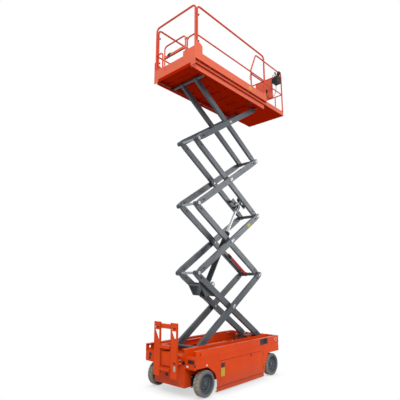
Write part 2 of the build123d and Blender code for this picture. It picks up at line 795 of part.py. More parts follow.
gate_hinge_y = -280.0
gate_free_y = 285.0
gate_top = top_z + 690
with BuildPart() as gate:
    bend(
        [
            (rear_x, gate_hinge_y, floor + 120),
            (rear_x, gate_hinge_y, gate_top),
            (rear_x, gate_free_y, gate_top),
            (rear_x, gate_free_y, floor + 120),
        ],
        70,
        14,
    )
    with Locations((rear_x, (gate_hinge_y + gate_free_y) / 2, top_z + 450)):
        Box(30, gate_free_y - gate_hinge_y, 50)
    with Locations((rear_x, (gate_hinge_y + gate_free_y) / 2, floor + 170)):
        Box(5, gate_free_y - gate_hinge_y, 100)
gate.part.label = "entry_gate"
export_step(gate.part, "parts/entry_gate.step")

# Roll-out deck extension with its own rails, front panel and control box.
tray_half = 488.0
tray_bottom = floor + 12
tray_back = extension_front - extension_stroke - 600
with BuildPart() as extension:
    with BuildSketch(Plane.YZ.offset(mid_x + tray_back)):
        with BuildLine():
            Polyline(
                (-tray_half, tray_bottom),
                (tray_half, tray_bottom),
                (tray_half, tray_bottom + 105),
                (tray_half - 30, tray_bottom + 105),
                (tray_half - 30, tray_bottom + 6),
                (-tray_half + 30, tray_bottom + 6),
                (-tray_half + 30, tray_bottom + 105),
                (-tray_half, tray_bottom + 105),
                close=True,
            )
        make_face()
    extrude(amount=extension_front - tray_back)
    with Locations((mid_x + extension_front - 3, 0, tray_bottom + 75)):
        Box(6, 2 * tray_half, 150)
extension.part.label = "extension_deck"
export_step(extension.part, "parts/extension_deck.step")

ext_y = 484.0
ext_top = rail_top - 62
ext_foot = tray_bottom + 105
ext_back = mid_x + tray_back + 145
ext_nose = mid_x + extension_front - 24
with BuildPart() as extension_rails:
    for side in (-1, 1):
        bend(
            [
                (ext_back, side * ext_y, ext_foot),
                (ext_back, side * ext_y, mid_rail + 90),
                (ext_back + 200, side * ext_y, ext_top),
                (ext_nose, side * ext_y, ext_top),
                (ext_nose, side * ext_y, ext_foot),
            ],
            70,
            15,
        )
        rod((ext_back, side * ext_y, mid_rail), (ext_nose, side * ext_y, mid_rail), 13)
        rod((ext_nose, side * 300, tray_bottom + 140), (ext_nose, side * 300, mid_rail), 12)
    rod((ext_nose, -ext_y, ext_top), (ext_nose, ext_y, ext_top), 15)
    rod((ext_nose, -ext_y, mid_rail), (ext_nose, ext_y, mid_rail), 13)
    with Locations((ext_nose, 0, (mid_rail + ext_top) / 2)):
        Box(6, 490, ext_top - mid_rail)
extension_rails.part.label = "extension_rails"
export_step(extension_rails.part, "parts/extension_rails.step")

# Platform control box: a pressed case with a sloping top, hung on the extension's right rail.
box_x = mid_x + 1815
box_y = -420.0
box_top = ext_top - 80
with BuildPart() as control_box:
    with BuildSketch(Plane.XZ.offset(-box_y - 70)):
        with BuildLine():
            Polyline(
                (box_x - 95, box_top - 190),
                (box_x + 95, box_top - 190),
                (box_x + 95, box_top),
                (box_x + 25, box_top),
                (box_x - 95, box_top - 90),
                close=True,
            )
        make_face()
        fillet(vertices(), 12)
    extrude(amount=140)
    with Locations((box_x + 35, -ext_y + 25, box_top + 36)):
        Box(90, 10, 132)
    with Locations((box_x + 35, -ext_y + 3, box_top + 100)):
        Box(90, 54, 8)
    with Locations((box_x + 35, -ext_y - 20, box_top + 80)):
        Box(90, 8, 40)
control_box.part.label = "control_box"
export_step(control_box.part, "parts/control_box.step")

# Control cable: straight out of the bottom of the box, down in a slack bend past the mid rail and
# up again to a socket low on the back of the front panel.
cable_radius = 6.5
cable_points = [
    Vector(box_x + 40, box_y + 30, box_top - 190),
    Vector(box_x + 40, box_y + 31, box_top - 262),
    Vector(box_x + 43, box_y + 40, box_top - 334),
    Vector(box_x + 50, box_y + 66, box_top - 398),
    Vector(box_x + 60, box_y + 110, box_top - 446),
    Vector(box_x + 69, box_y + 168, box_top - 468),
    Vector(box_x + 76, box_y + 230, box_top - 462),
    Vector(box_x + 80, box_y + 286, box_top - 428),
    Vector(box_x + 81, box_y + 322, box_top - 374),
    Vector(box_x + 82, box_y + 338, box_top - 310),
    Vector(box_x + 84, box_y + 342, box_top - 245),
]
cable_runs = [b - a for a, b in zip(cable_points, cable_points[1:])]
cable_bends = []
for before, after in zip(cable_runs, cable_runs[1:]):
    half_turn = radians(before.get_angle(after)) / 2
    cable_bends.append(0.45 * min(before.length, after.length) / tan(half_turn))
print("cable bend radii", [round(radius) for radius in cable_bends])
with BuildPart() as control_cable:
    with BuildLine() as route:
        FilletPolyline(*cable_points, radius=cable_bends)
    with BuildSketch(Plane(origin=route.line @ 0, z_dir=route.line % 0)):
        Circle(cable_radius)
    sweep(path=route.line)
print("cable length", round(sum(edge.length for edge in route.edges())))
control_cable.part.label = "control_cable"
export_step(control_cable.part, "parts/control_cable.step")
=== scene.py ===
# Battery scissor lift, raised half way: a steel chassis on four solid tyres, four crossed pairs of
# arms pushed up by one hydraulic cylinder, and a work platform with a roll-out deck extension.
from math import atan2, cos, pi, radians, sin

import bmesh
import bpy
from mathutils import Matrix, Vector


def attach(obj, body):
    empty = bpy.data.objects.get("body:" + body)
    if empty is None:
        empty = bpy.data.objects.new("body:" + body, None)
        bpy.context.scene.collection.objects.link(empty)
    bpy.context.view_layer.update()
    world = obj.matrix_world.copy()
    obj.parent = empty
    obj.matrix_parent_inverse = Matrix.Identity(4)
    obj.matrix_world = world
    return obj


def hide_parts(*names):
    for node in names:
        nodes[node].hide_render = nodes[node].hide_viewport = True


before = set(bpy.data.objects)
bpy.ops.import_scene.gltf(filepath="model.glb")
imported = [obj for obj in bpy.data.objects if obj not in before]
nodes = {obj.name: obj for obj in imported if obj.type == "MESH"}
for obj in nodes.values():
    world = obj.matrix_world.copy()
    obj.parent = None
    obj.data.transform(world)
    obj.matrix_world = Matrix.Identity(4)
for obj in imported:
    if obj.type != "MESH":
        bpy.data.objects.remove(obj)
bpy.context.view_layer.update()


# Chassis steelwork: pressed and welded 5 mm sheet, blasted, primed and powder coated orange. The
# coat is semi-gloss with a fine orange peel, with dust and painted shade in its corners and road
# dirt low down.
def linear(code):
    """An sRGB hex colour as the shader's linear one."""
    parts = [int(code[i : i + 2], 16) / 255 for i in (1, 3, 5)]
    return [v / 12.92 if v <= 0.04045 else ((v + 0.055) / 1.055) ** 2.4 for v in parts] + [1.0]


def scale_of(size_mm):
    """The noise scale at which a blot is that many millimetres across."""
    return 500 / size_mm


def wire(node, **sockets):
    """Sets a node's sockets, by name or by number as n0, or links them to an output."""
    for key, value in sockets.items():
        numbered = key[0] == "n" and key[1:].isdigit()
        socket = node.inputs[int(key[1:]) if numbered else key.replace("_", " ")]
        if isinstance(value, bpy.types.NodeSocket):
            node.id_data.links.new(value, socket)
        else:
            socket.default_value = value


def add(tree, kind, *values, out=0, **named):
    """Adds a shader node and gives one of its outputs. The values fill its first sockets. Names in
    small letters are its settings, and the others are sockets."""
    node = tree.nodes.new("ShaderNode" + kind)
    sockets = {f"n{i}": value for i, value in enumerate(values)}
    for key, value in named.items():
        if key[0].islower() and not key[1:].isdigit():
            setattr(node, key, value)
        else:
            sockets[key] = value
    wire(node, **sockets)
    return node.outputs[out] if len(node.outputs) else node


two_colours = {"data_type": "RGBA", "out": 2}


def new_material(name):
    """A material with one principled shader."""
    made = bpy.data.materials.new(name)
    made.use_nodes = True
    made.node_tree.nodes.clear()
    shader = made.node_tree.nodes.new("ShaderNodeBsdfPrincipled")
    add(made.node_tree, "OutputMaterial", shader.outputs[0])
    return made, made.node_tree, shader


def powder_coat(
    name, face, shade, dust_and_shade, gloss=0.38, dirt=0.0, sheen=0.14, underside_shade=None, shade_below_z=0.0
):
    """Powder-coated steel: colour that drifts over a panel, dust mixed with painted shade in corners,
    a mottled gloss, and orange peel, about 2 mm across on the real coat and drawn coarser so that it
    shows. Faces that look down take a painted underside shade colour and no gloss, as does what lies
    inside the toe boards and below the height shade_below_z."""
    made, tree, shader = new_material(name)
    place = add(tree, "TexCoord", out="Object")
    drift = add(tree, "TexNoise", place, Scale=scale_of(420), Detail=3.0)
    drift = add(tree, "MapRange", drift, 0.35, 0.65)
    colour = add(tree, "Mix", drift, n6=linear(shade), n7=linear(face), **two_colours)
    # Corners and creases found by ambient occlusion take the dust colour: part dust, part painted
    # shade.
    corner_shade = add(tree, "AmbientOcclusion", samples=4, Distance=0.05, out="AO")
    grain = add(tree, "TexNoise", place, Scale=scale_of(22), Detail=6.0, Roughness=0.6)
    corner_dust_and_shade = add(tree, "Math", corner_shade, grain, operation="ADD")
    corner_dust_and_shade = add(tree, "MapRange", corner_dust_and_shade, 1.35, 0.6, 0.0, 0.6)
    colour = add(tree, "Mix", corner_dust_and_shade, n6=colour, n7=linear(dust_and_shade), **two_colours)
    if dirt:
        low = add(tree, "SeparateXYZ", place, out="Z")
        low = add(tree, "MapRange", low, 0.34, 0.04, 0.0, dirt)
        splash = add(tree, "TexNoise", place, Scale=scale_of(40), Detail=8.0, Roughness=0.7)
        low = add(tree, "Math", low, splash, operation="MULTIPLY")
        colour = add(tree, "Mix", low, n6=colour, n7=linear("#6B5A4C"), **two_colours)
    specular = sheen
    # Painted shade: faces that look down, and all that lies inside the toe boards below shade_below_z,
    # take the dark underside colour and lose their gloss.
    if underside_shade:
        shade_mask = add(tree, "SeparateXYZ", add(tree, "NewGeometry", out="Normal"), out="Z")
        shade_mask = add(tree, "MapRange", shade_mask, -0.4, -0.85)
        inner = add(tree, "SeparateXYZ", place, out="Y")
        inner = add(tree, "Math", inner, operation="ABSOLUTE")
        inner = add(tree, "MapRange", inner, 0.440, 0.425)
        below = add(tree, "SeparateXYZ", place, out="Z")
        below = add(tree, "MapRange", below, shade_below_z + 0.0005, shade_below_z - 0.0005)
        shaded_inside = add(tree, "Math", inner, below, operation="MULTIPLY")
        shade_mask = add(tree, "Math", shade_mask, shaded_inside, operation="MAXIMUM")
        colour = add(tree, "Mix", shade_mask, n6=colour, n7=linear(underside_shade), **two_colours)
        specular = add(tree, "MapRange", shade_mask, 0.0, 1.0, sheen, 0.0)
    mottle = add(tree, "TexNoise", place, Scale=scale_of(90), Detail=4.0)
    peel = add(tree, "TexNoise", place, Scale=scale_of(7), Detail=2.0)
    wire(
        shader,
        Base_Color=colour,
        Specular_IOR_Level=specular,
        Roughness=add(tree, "MapRange", mottle, 0.3, 0.7, gloss - 0.05, gloss + 0.10),
        Normal=add(tree, "Bump", Strength=0.12, Distance=0.001, Height=peel),
    )
    return made


def paint(material, *names):
    """Gives CAD nodes that material."""
    for name in names:
        slots = nodes[name].data.materials
        slots.clear()
        slots.append(material)


chassis_coat = powder_coat(
    "powder_coated_steel_orange", "#DA4604", "#D03D02", "#84300F", dirt=0.55
)
paint(chassis_coat, "chassis_frame", "right_side_frame", "left_side_frame")


# Side plates: laser-cut sheet with hemmed arch edges. A beam plate is stitched on along its lower
# edge with short weld beads, and painted hexagon bolts hold the stiffeners inside.
def turned(mesh, outline, centre, axis, steps=32):
    """A turned shape: (radius, place along the axis) points, capped at both ends unless the line
    comes back to its first point."""
    spin = Vector(axis).to_track_quat("Z", "Y").to_matrix()
    looped = outline[0] == outline[-1]
    rings = []
    for radius, along in outline[:-1] if looped else outline:
        count = steps if radius > 1e-6 else 1
        ring = []
        for i in range(count):
            turn = 2 * pi * i / count
            spot = spin @ Vector((radius * cos(turn), radius * sin(turn), along))
            ring.append(mesh.verts.new(Vector(centre) + spot))
        rings.append(ring)
    if looped:
        rings.append(rings[0])
    for low, high in zip(rings, rings[1:]):
        for i in range(steps):
            j = (i + 1) % steps
            corners = (low[i % len(low)], low[j % len(low)], high[j % len(high)], high[i % len(high)])
            corners = list(dict.fromkeys(corners))
            if len(corners) > 2:
                mesh.faces.new(corners)
    if not looped:
        for ring in (rings[0][::-1], rings[-1]):
            if len(ring) > 2:
                mesh.faces.new(ring)


def domed(radius, height, top_radius, top):
    """The outline of a closed round cap with a slanted edge."""
    return [(radius, 0.0), (radius, height), (top_radius, top), (0.0, top)]


def bolt(mesh, place, axis, size=0.012):
    """A hexagon bolt head on a washer; size is the thread's diameter."""
    turned(mesh, [(size, 0.0), (size, 0.12 * size), (0.96 * size, 0.18 * size)], place, axis, 20)
    head = [(0.85 * size, 0.18 * size), (0.85 * size, 0.70 * size), (0.70 * size, 0.82 * size)]
    turned(mesh, head, place, axis, 6)


def pipe(mesh, points, radius, sides=12, closed=False):
    """A round bar or bead swept along a line of points."""
    points = [Vector(p) for p in points]
    count = len(points)
    rings = []
    normal = None
    for i, point in enumerate(points):
        before = points[i - 1] if i or closed else point
        after = points[(i + 1) % count] if i + 1 < count or closed else point
        ahead = (after - before).normalized()
        if normal is None:
            normal = ahead.orthogonal().normalized()
        normal = (normal - ahead * normal.dot(ahead)).normalized()
        across = ahead.cross(normal)
        ring = []
        for k in range(sides):
            turn = 2 * pi * k / sides
            ring.append(mesh.verts.new(point + radius * (cos(turn) * normal + sin(turn) * across)))
        rings.append(ring)
    pairs = list(zip(rings, rings[1:])) + ([(rings[-1], rings[0])] if closed else [])
    for low, high in pairs:
        for k in range(sides):
            m = (k + 1) % sides
            mesh.faces.new((low[k], low[m], high[m], high[k]))
    if not closed:
        mesh.faces.new(rings[0][::-1])
        mesh.faces.new(rings[-1])


def finish_piece(name, mesh, body, material, smooth=35.0):
    """Puts a finished mesh into the scene and lets it ride on its CAD body."""
    bmesh.ops.recalc_face_normals(mesh, faces=mesh.faces)
    data = bpy.data.meshes.new(name)
    mesh.to_mesh(data)
    mesh.free()
    data.materials.append(material)
    data.polygons.foreach_set("use_smooth", [True] * len(data.polygons))
    data.set_sharp_from_angle(angle=radians(smooth))
    made = bpy.data.objects.new(name, data)
    bpy.context.scene.collection.objects.link(made)
    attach(made, body)
    return made


hands = (("right", -1), ("left", 1))
middle_x = -0.315
side_y = 0.578
beam_y = 0.582
arch_line = [
    (-1.150, 0.430), (-0.940, 0.430), (-0.868, 0.416), (-0.800, 0.384), (-0.745, 0.334),
    (-0.704, 0.262), (-0.683, 0.190), (-0.680, 0.108), (0.664, 0.108), (0.668, 0.200),
    (0.732, 0.304), (0.798, 0.410), (1.150, 0.410),
]  # fmt: skip
stitch_pitch = 0.20
for hand, sign in hands:
    out = (0, sign, 0)
    hem = bmesh.new()
    pipe(hem, [(middle_x + x, sign * (side_y - 0.001), z) for x, z in arch_line], 0.0035, 8)
    finish_piece(f"{hand}_arch_hem", hem, "chassis", chassis_coat)

    stitches = bmesh.new()
    for i in range(12):
        x = middle_x - 1.10 + stitch_pitch * i
        ripples = [(x + 0.006 * k, 0.5615 + 0.0008 * (k % 2)) for k in range(8)]
        pipe(stitches, [(a, sign * (side_y + 0.001), z) for a, z in ripples], 0.0035, 8)
    finish_piece(f"{hand}_beam_welds", stitches, "chassis", chassis_coat)

    heads = bmesh.new()
    for x in (-1.12, -0.99, -0.66, 0.60, 0.99, 1.12):
        bolt(heads, (middle_x + x, sign * beam_y, 0.590), out, 0.008)
    for x in (-0.645, 0.650):
        for z in (0.135, 0.300, 0.500):
            bolt(heads, (middle_x + x, sign * side_y, z), out, 0.007)
    finish_piece(f"{hand}_side_bolts", heads, "chassis", chassis_coat)


# Tie-down washers: turned steel rings pressed into the holes near the chassis corners. The rear two
# are painted over, and the front two are zinc plated, bluish bright with a faint ring grain.
def plated_steel(name, tone, shade, rough):
    """Zinc-plated or ground steel; turning marks 1 mm apart, drawn 3 mm apart so that they show."""
    made, tree, shader = new_material(name)
    place = add(tree, "TexCoord", out="Object")
    blotch = add(tree, "TexNoise", place, Scale=scale_of(35), Detail=5.0)
    blotch = add(tree, "MapRange", blotch, 0.3, 0.7)
    marks = add(tree, "TexNoise", place, Scale=scale_of(3), Detail=2.0)
    wire(
        shader,
        Base_Color=add(tree, "Mix", blotch, n6=linear(shade), n7=linear(tone), **two_colours),
        Metallic=0.9,
        Roughness=add(tree, "MapRange", marks, 0.3, 0.7, rough - 0.06, rough + 0.12),
        Normal=add(tree, "Bump", Strength=0.08, Distance=0.0005, Height=marks),
    )
    return made


zinc = plated_steel("zinc_plated_steel", "#C9CBCC", "#A4A7AA", 0.34)
washer_ring = [
    (0.0222, 0.0), (0.0222, 0.0022), (0.0245, 0.0030), (0.0320, 0.0030), (0.0335, 0.0), (0.0222, 0.0),
]  # fmt: skip
for hand, sign in hands:
    for end, x, material in (("rear", -1.075, chassis_coat), ("front", 1.067, zinc)):
        washer = bmesh.new()
        turned(washer, washer_ring, (middle_x + x, sign * beam_y, 0.620), (0, sign, 0), 40)
        finish_piece(f"{end}_{hand}_tie_down_washer", washer, "chassis", material)


# Rear panel: a sprung outlet flap over its pocket, a round charging inlet with three pins, round
# plugs, and two square louvred caps. All are glass-filled nylon, matt with a fine moulded grain.
def moulded_plastic(name, face, shade, rough=0.55):
    """Moulded plastic with a spark-eroded grain, 0.5 mm on the real part and drawn at 3 mm."""
    made, tree, shader = new_material(name)
    place = add(tree, "TexCoord", out="Object")
    cloud = add(tree, "TexNoise", place, Scale=scale_of(60), Detail=4.0)
    cloud = add(tree, "MapRange", cloud, 0.3, 0.7)
    grain = add(tree, "TexNoise", place, Scale=scale_of(3), Detail=2.0)
    wire(
        shader,
        Base_Color=add(tree, "Mix", cloud, n6=linear(shade), n7=linear(face), **two_colours),
        IOR=1.46,
        Roughness=add(tree, "MapRange", grain, 0.3, 0.7, rough - 0.05, rough + 0.10),
        Normal=add(tree, "Bump", Strength=0.15, Distance=0.0006, Height=grain),
    )
    return made


def block(mesh, centre, size, turn=None, edge=0.002):
    """A box with bevelled edges."""
    turn = (turn or Matrix.Identity(3)).to_4x4()
    made = bmesh.ops.create_cube(mesh, size=1.0)["verts"]
    bmesh.ops.scale(mesh, vec=size, verts=made)
    edges = list(dict.fromkeys(e for v in made for e in v.link_edges))
    edge = min(edge, 0.45 * min(size))
    if edge > 0.0003:
        made = bmesh.ops.bevel(
            mesh, geom=edges, offset=edge, segments=2, profile=0.5, affect="EDGES"
        )["verts"]
        linked = [w for v in made for e in v.link_edges for w in e.verts]
        made = list(dict.fromkeys([*made, *linked]))
    bmesh.ops.transform(mesh, matrix=Matrix.Translation(centre) @ turn, verts=made)


black_nylon = moulded_plastic("moulded_nylon_black", "#191A1C", "#121315")
rear_x = middle_x - 1.160
behind = (-1, 0, 0)
flap_y = -0.478
flap = bmesh.new()
block(flap, (rear_x + 0.010, flap_y, 0.516), (0.006, 0.108, 0.032), edge=0.001)
block(flap, (rear_x - 0.004, flap_y, 0.516), (0.008, 0.124, 0.046), edge=0.003)
block(flap, (rear_x - 0.010, flap_y, 0.520), (0.006, 0.088, 0.028), edge=0.003)
pipe(flap, [(rear_x - 0.011, flap_y + y, 0.541) for y in (-0.052, 0.052)], 0.005)
finish_piece("outlet_flap", flap, "chassis", black_nylon)

inlet_y, inlet_z = -0.318, 0.487
inlet = bmesh.new()
cup = [
    (0.030, 0.0), (0.030, 0.005), (0.027, 0.009), (0.020, 0.010), (0.017, 0.004), (0.012, 0.003),
    (0.0, 0.003),
]  # fmt: skip
turned(inlet, cup, (rear_x, inlet_y, inlet_z), behind)
for turn in (0, 2 * pi / 3, 4 * pi / 3):
    spot = (rear_x, inlet_y + 0.008 * cos(turn), inlet_z + 0.008 * sin(turn))
    turned(inlet, [(0.003, 0.0), (0.003, 0.008), (0.0, 0.009)], spot, behind, 10)
finish_piece("charging_inlet", inlet, "chassis", black_nylon)

plugs = bmesh.new()
for y, z, r in ((0.462, 0.520, 0.030), (0.474, 0.462, 0.022), (-0.552, 0.470, 0.014)):
    crown = [(r, 0.0), (r, 0.004), (0.86 * r, 0.008), (0.5 * r, 0.009), (0.0, 0.009)]
    turned(plugs, crown, (rear_x, y, z), behind)
finish_piece("rear_panel_plugs", plugs, "chassis", black_nylon)

caps = bmesh.new()
for y, z, side in ((0.060, 0.272, 0.046), (0.070, 0.392, 0.030)):
    block(caps, (rear_x - 0.004, y, z), (0.008, side, side), edge=0.003)
    for k in (-1, 0, 1):
        louvre = (rear_x - 0.009, y, z + k * side / 4)
        block(caps, louvre, (0.003, 0.7 * side, 0.08 * side), edge=0.0008)
finish_piece("breather_caps", caps, "chassis", black_nylon)


# Blank plates: cast vinyl without print, laid flat on the coat with rounded corners. It is even in
# colour, with faint dirt and a slight wave from the glue below it.
def vinyl(name, face, shade, rough=0.45):
    """Cast vinyl or foil film."""
    made, tree, shader = new_material(name)
    place = add(tree, "TexCoord", out="Object")
    dirt = add(tree, "TexNoise", place, Scale=scale_of(14), Detail=8.0, Roughness=0.7)
    dirt = add(tree, "MapRange", dirt, 0.45, 0.75)
    wave = add(tree, "TexNoise", place, Scale=scale_of(25), Detail=2.0)
    wire(
        shader,
        Base_Color=add(tree, "Mix", dirt, n6=linear(face), n7=linear(shade), **two_colours),
        Roughness=rough,
        IOR=1.5,
        Normal=add(tree, "Bump", Strength=0.1, Distance=0.0005, Height=wave),
    )
    return made


def plate(mesh, outline, origin, across, up, thickness):
    """A flat plate cut to an outline of (across, up) points about its origin."""
    across, up = Vector(across), Vector(up)
    out = across.cross(up).normalized() * thickness / 2
    front = [mesh.verts.new(Vector(origin) + across * a + up * b + out) for a, b in outline]
    back = [mesh.verts.new(v.co - 2 * out) for v in front]
    mesh.faces.new(front)
    mesh.faces.new(back[::-1])
    for i in range(len(front)):
        j = (i + 1) % len(front)
        mesh.faces.new((front[i], back[i], back[j], front[j]))


def rounded_outline(width, height, radius, steps=4):
    """A rectangle with rounded corners about its middle."""
    points = []
    for cx, cy, start in ((1, 1, 0), (-1, 1, 90), (-1, -1, 180), (1, -1, 270)):
        x, y = cx * (width / 2 - radius), cy * (height / 2 - radius)
        for k in range(steps + 1):
            turn = radians(start + 90 * k / steps)
            points.append((x + radius * cos(turn), y + radius * sin(turn)))
    return points


def film(mesh, size, place, across, up=(0, 0, 1)):
    """A blank film of that width, height and corner radius."""
    plate(mesh, rounded_outline(*size), place, across, up, 0.0009)


yellow_vinyl = vinyl("cast_vinyl_yellow", "#B0A01C", "#94841A")
white_vinyl = vinyl("cast_vinyl_white", "#D9DAD8", "#B9B8B2")
foil = vinyl("anodised_foil_grey", "#A9A7A2", "#8E8B84", 0.35)
tag = bmesh.new()
film(tag, (0.046, 0.026, 0.004), (rear_x - 0.0006, -0.396, 0.446), (0, -1, 0))
film(tag, (0.036, 0.020, 0.003), (-1.236, -side_y - 0.0006, 0.455), (1, 0, 0))
finish_piece("white_tags", tag, "chassis", white_vinyl)


# Rear sill: a folded strip of the chassis sheet, welded along the top of the rear panel with its
# edge rolled over, and coated with it.
sill = bmesh.new()
sill_line = [
    (-1.474, 0.548), (-1.470, 0.564), (-1.458, 0.577), (-1.438, 0.584), (-1.380, 0.586),
    (-1.380, 0.560), (-1.440, 0.556),
]  # fmt: skip
ends = [[sill.verts.new((x, y, z)) for x, z in sill_line] for y in (-0.562, 0.562)]
sill.faces.new(ends[0])
sill.faces.new(ends[1][::-1])
for i in range(len(sill_line)):
    j = (i + 1) % len(sill_line)
    sill.faces.new((ends[0][i], ends[1][i], ends[1][j], ends[0][j]))
finish_piece("rear_sill", sill, "chassis", chassis_coat, smooth=50)


# Ladder: two plate uprights with cut-outs and shallow folded edges, a square top bar, two pressed
# treads punched with grip dimples, and a panel set back between them. Welded, then powder coated.
ladder_x = -1.645
ladder_y = -0.080
outer_half, inner_half = 0.265, 0.115
bar_width = 2 * inner_half
low_end, high_end = 0.280, 1.078
cut_low, cut_high = 0.816, 0.958
slot_low, slot_high = 0.985, 1.007
fold = 0.022
sheet = 0.005
ladder = bmesh.new()


def strip(mesh, corners):
    """Part of an upright: flat sheet in the ladder's own plane, from (y, z) corners."""
    plate(mesh, corners, (ladder_x + sheet / 2, 0, 0), (0, 1, 0), (0, 0, 1), sheet)


def box_corners(left, right, low, high):
    """The corners of an upright rectangle."""
    return [(left, low), (right, low), (right, high), (left, high)]


for sign in (-1, 1):
    left, right = sorted((ladder_y + sign * inner_half, ladder_y + sign * outer_half))
    for low, high in ((low_end, cut_low), (cut_high, slot_low), (slot_high, high_end)):
        strip(ladder, box_corners(left, right, low, high))
    brace = right - 0.029
    strip(ladder, [(left + 0.039, cut_low), (brace, cut_low), (brace, cut_high)])
    for low, high, rim in ((slot_low, slot_high, 0.025), (cut_low, cut_high, 0.029)):
        strip(ladder, box_corners(left, left + rim, low, high))
        strip(ladder, box_corners(right - rim, right, low, high))
    for y in (left + sheet / 2, right - sheet / 2):
        middle = (ladder_x + fold / 2, y, (low_end + high_end) / 2)
        block(ladder, middle, (fold, sheet, high_end - low_end), edge=0.0015)
    block(ladder, (ladder_x + 0.021, (left + right) / 2, 0.996), (0.004, 0.110, 0.040), edge=0.001)
    standoff_y = ladder_y + sign * 0.1800
    block(ladder, (-1.5575, standoff_y, 0.500), (0.165, sheet, 0.090), edge=0.0015)
block(ladder, (ladder_x + 0.022, ladder_y, 1.018), (0.034, bar_width, 0.070), edge=0.006)
block(ladder, (ladder_x + 0.0195, ladder_y, 0.540), (sheet, bar_width, 0.204), edge=0.0015)
for z in (0.395, 0.714):
    block(ladder, (ladder_x + 0.033, ladder_y, z + 0.019), (0.110, bar_width, 0.006))
    for x in (-0.0195, 0.0855):
        block(ladder, (ladder_x + x, ladder_y, z), (sheet, bar_width, 0.044))
made = finish_piece("ladder_frame", ladder, "chassis", chassis_coat)
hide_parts("ladder")

grips = bmesh.new()
dimple = [(0.0065, 0.0), (0.0050, 0.0022), (0.0038, 0.0022), (0.0030, 0.0004)]
for z in (0.417, 0.736):
    for row in range(4):
        for column in range(9):
            x, y = ladder_x + 0.002 + 0.020 * row, ladder_y - 0.092 + 0.023 * column
            turned(grips, dimple, (x, y, z - 0.0005), (0, 0, 1), 10)
finish_piece("tread_dimples", grips, "chassis", chassis_coat)
heads = bmesh.new()
for sign in (-1, 1):
    for z in (0.475, 0.525):
        for x in (-1.520, -1.490):
            bolt(heads, (x, ladder_y + sign * 0.1825, z), (0, sign, 0), 0.008)
finish_piece("ladder_bolts", heads, "chassis", zinc)
beads = bmesh.new()
start = ladder_x + 0.004
for sign in (-1, 1):
    edge = ladder_y + sign * 0.1145
    for z in (0.737, 0.693, 0.418, 0.374):
        pipe(beads, [(start + 0.006 * k, edge, z + 0.0006 * (k % 2)) for k in range(4)], 0.003, 8)
    for z in (0.984, 1.052):
        pipe(beads, [(start + 0.005 * k, edge, z) for k in range(4)], 0.003, 8)
finish_piece("ladder_welds", beads, "chassis", chassis_coat)
tag = bmesh.new()
film(tag, (0.046, 0.072, 0.003), (ladder_x - 0.0006, -0.290, 0.424), (0, -1, 0))
finish_piece("ladder_plate", tag, "chassis", foil)
plug = bmesh.new()
block(plug, (ladder_x - 0.002, -0.285, 0.500), (0.004, 0.060, 0.020), edge=0.003)
finish_piece("ladder_plug", plug, "chassis", black_nylon)


# Ground control station: a recessed black moulding with a louvred half and, beside it, a key switch,
# two rocker switches, a small push button and a red mushroom stop button.
paint(black_nylon, "ground_controls")
panel_y = -beam_y
forward = (0, -1, 0)
controls = bmesh.new()
turned(controls, domed(0.016, 0.007, 0.013, 0.010), (0.391, panel_y, 0.644), forward, 24)
block(controls, (0.391, panel_y - 0.012, 0.644), (0.006, 0.006, 0.026), edge=0.001)
for x in (0.385, 0.407):
    block(controls, (x, panel_y - 0.003, 0.598), (0.014, 0.010, 0.026), edge=0.003)
turned(controls, domed(0.010, 0.007, 0.007, 0.009), (0.437, panel_y, 0.597), forward, 20)
finish_piece("ground_switches", controls, "chassis", black_nylon)
red_plastic = moulded_plastic("moulded_nylon_red", "#B5140E", "#98100C", 0.38)
mushroom = [
    (0.008, 0.008), (0.009, 0.016), (0.019, 0.018), (0.020, 0.023), (0.017, 0.028), (0.008, 0.031),
    (0.0, 0.031),
]  # fmt: skip
button = bmesh.new()
turned(button, mushroom, (0.437, panel_y, 0.640), forward, 28)
finish_piece("ground_stop_button", button, "chassis", red_plastic)


# Bay floor: a drilled manifold block and a port post, painted with the chassis, two zinc-plated
# cartridge valves, and three rubber hoses that arch to unions on the floor, clamped at both ends.
rubber_black = moulded_plastic("extruded_rubber_black", "#17181A", "#101112", 0.62)
up = (0, 0, 1)
floor_z = 0.556
block_x = 0.620
post_x, post_y = 0.430, 0.110
bay = bmesh.new()
block(bay, (block_x, 0.0, floor_z + 0.050), (0.110, 0.170, 0.100), edge=0.004)
block(bay, (post_x, post_y, floor_z + 0.060), (0.040, 0.040, 0.120), edge=0.003)
finish_piece("manifold", bay, "chassis", chassis_coat)
valves = bmesh.new()
for y in (-0.050, 0.050):
    turned(valves, domed(0.019, 0.045, 0.015, 0.050), (block_x, y, floor_z + 0.100), up, 24)
    bolt(valves, (block_x, y, floor_z + 0.150), up, 0.007)
union = [(0.014, 0.0), (0.014, 0.020), (0.0, 0.020)]
turned(valves, union, (post_x, post_y, floor_z + 0.120), up, 6)
finish_piece("manifold_valves", valves, "chassis", zinc)
hoses = bmesh.new()
collars = bmesh.new()
ferrule = [(0.0135, -0.004), (0.0135, 0.022), (0.011, 0.024)]
for y, start, height in ((-0.060, 0.199, 0.075), (0.000, 0.180, 0.105), (0.060, 0.230, 0.085)):
    reach = block_x - 0.056 - start
    points = []
    for k in range(17):
        along = k / 16
        lift = sin(pi * along) ** 0.7 * height
        points.append((start + reach * along, y, floor_z + 0.014 + 0.026 * along + lift))
    pipe(hoses, points, 0.0105, 14)
    for spot, tip in ((points[0], points[1]), (points[-1], points[-2])):
        turned(collars, ferrule, spot, Vector(tip) - Vector(spot), 20)
    block(collars, (start - 0.004, y, floor_z + 0.010), (0.026, 0.026, 0.020), edge=0.003)
finish_piece("bay_hoses", hoses, "chassis", rubber_black)
finish_piece("hose_fittings", collars, "chassis", zinc)


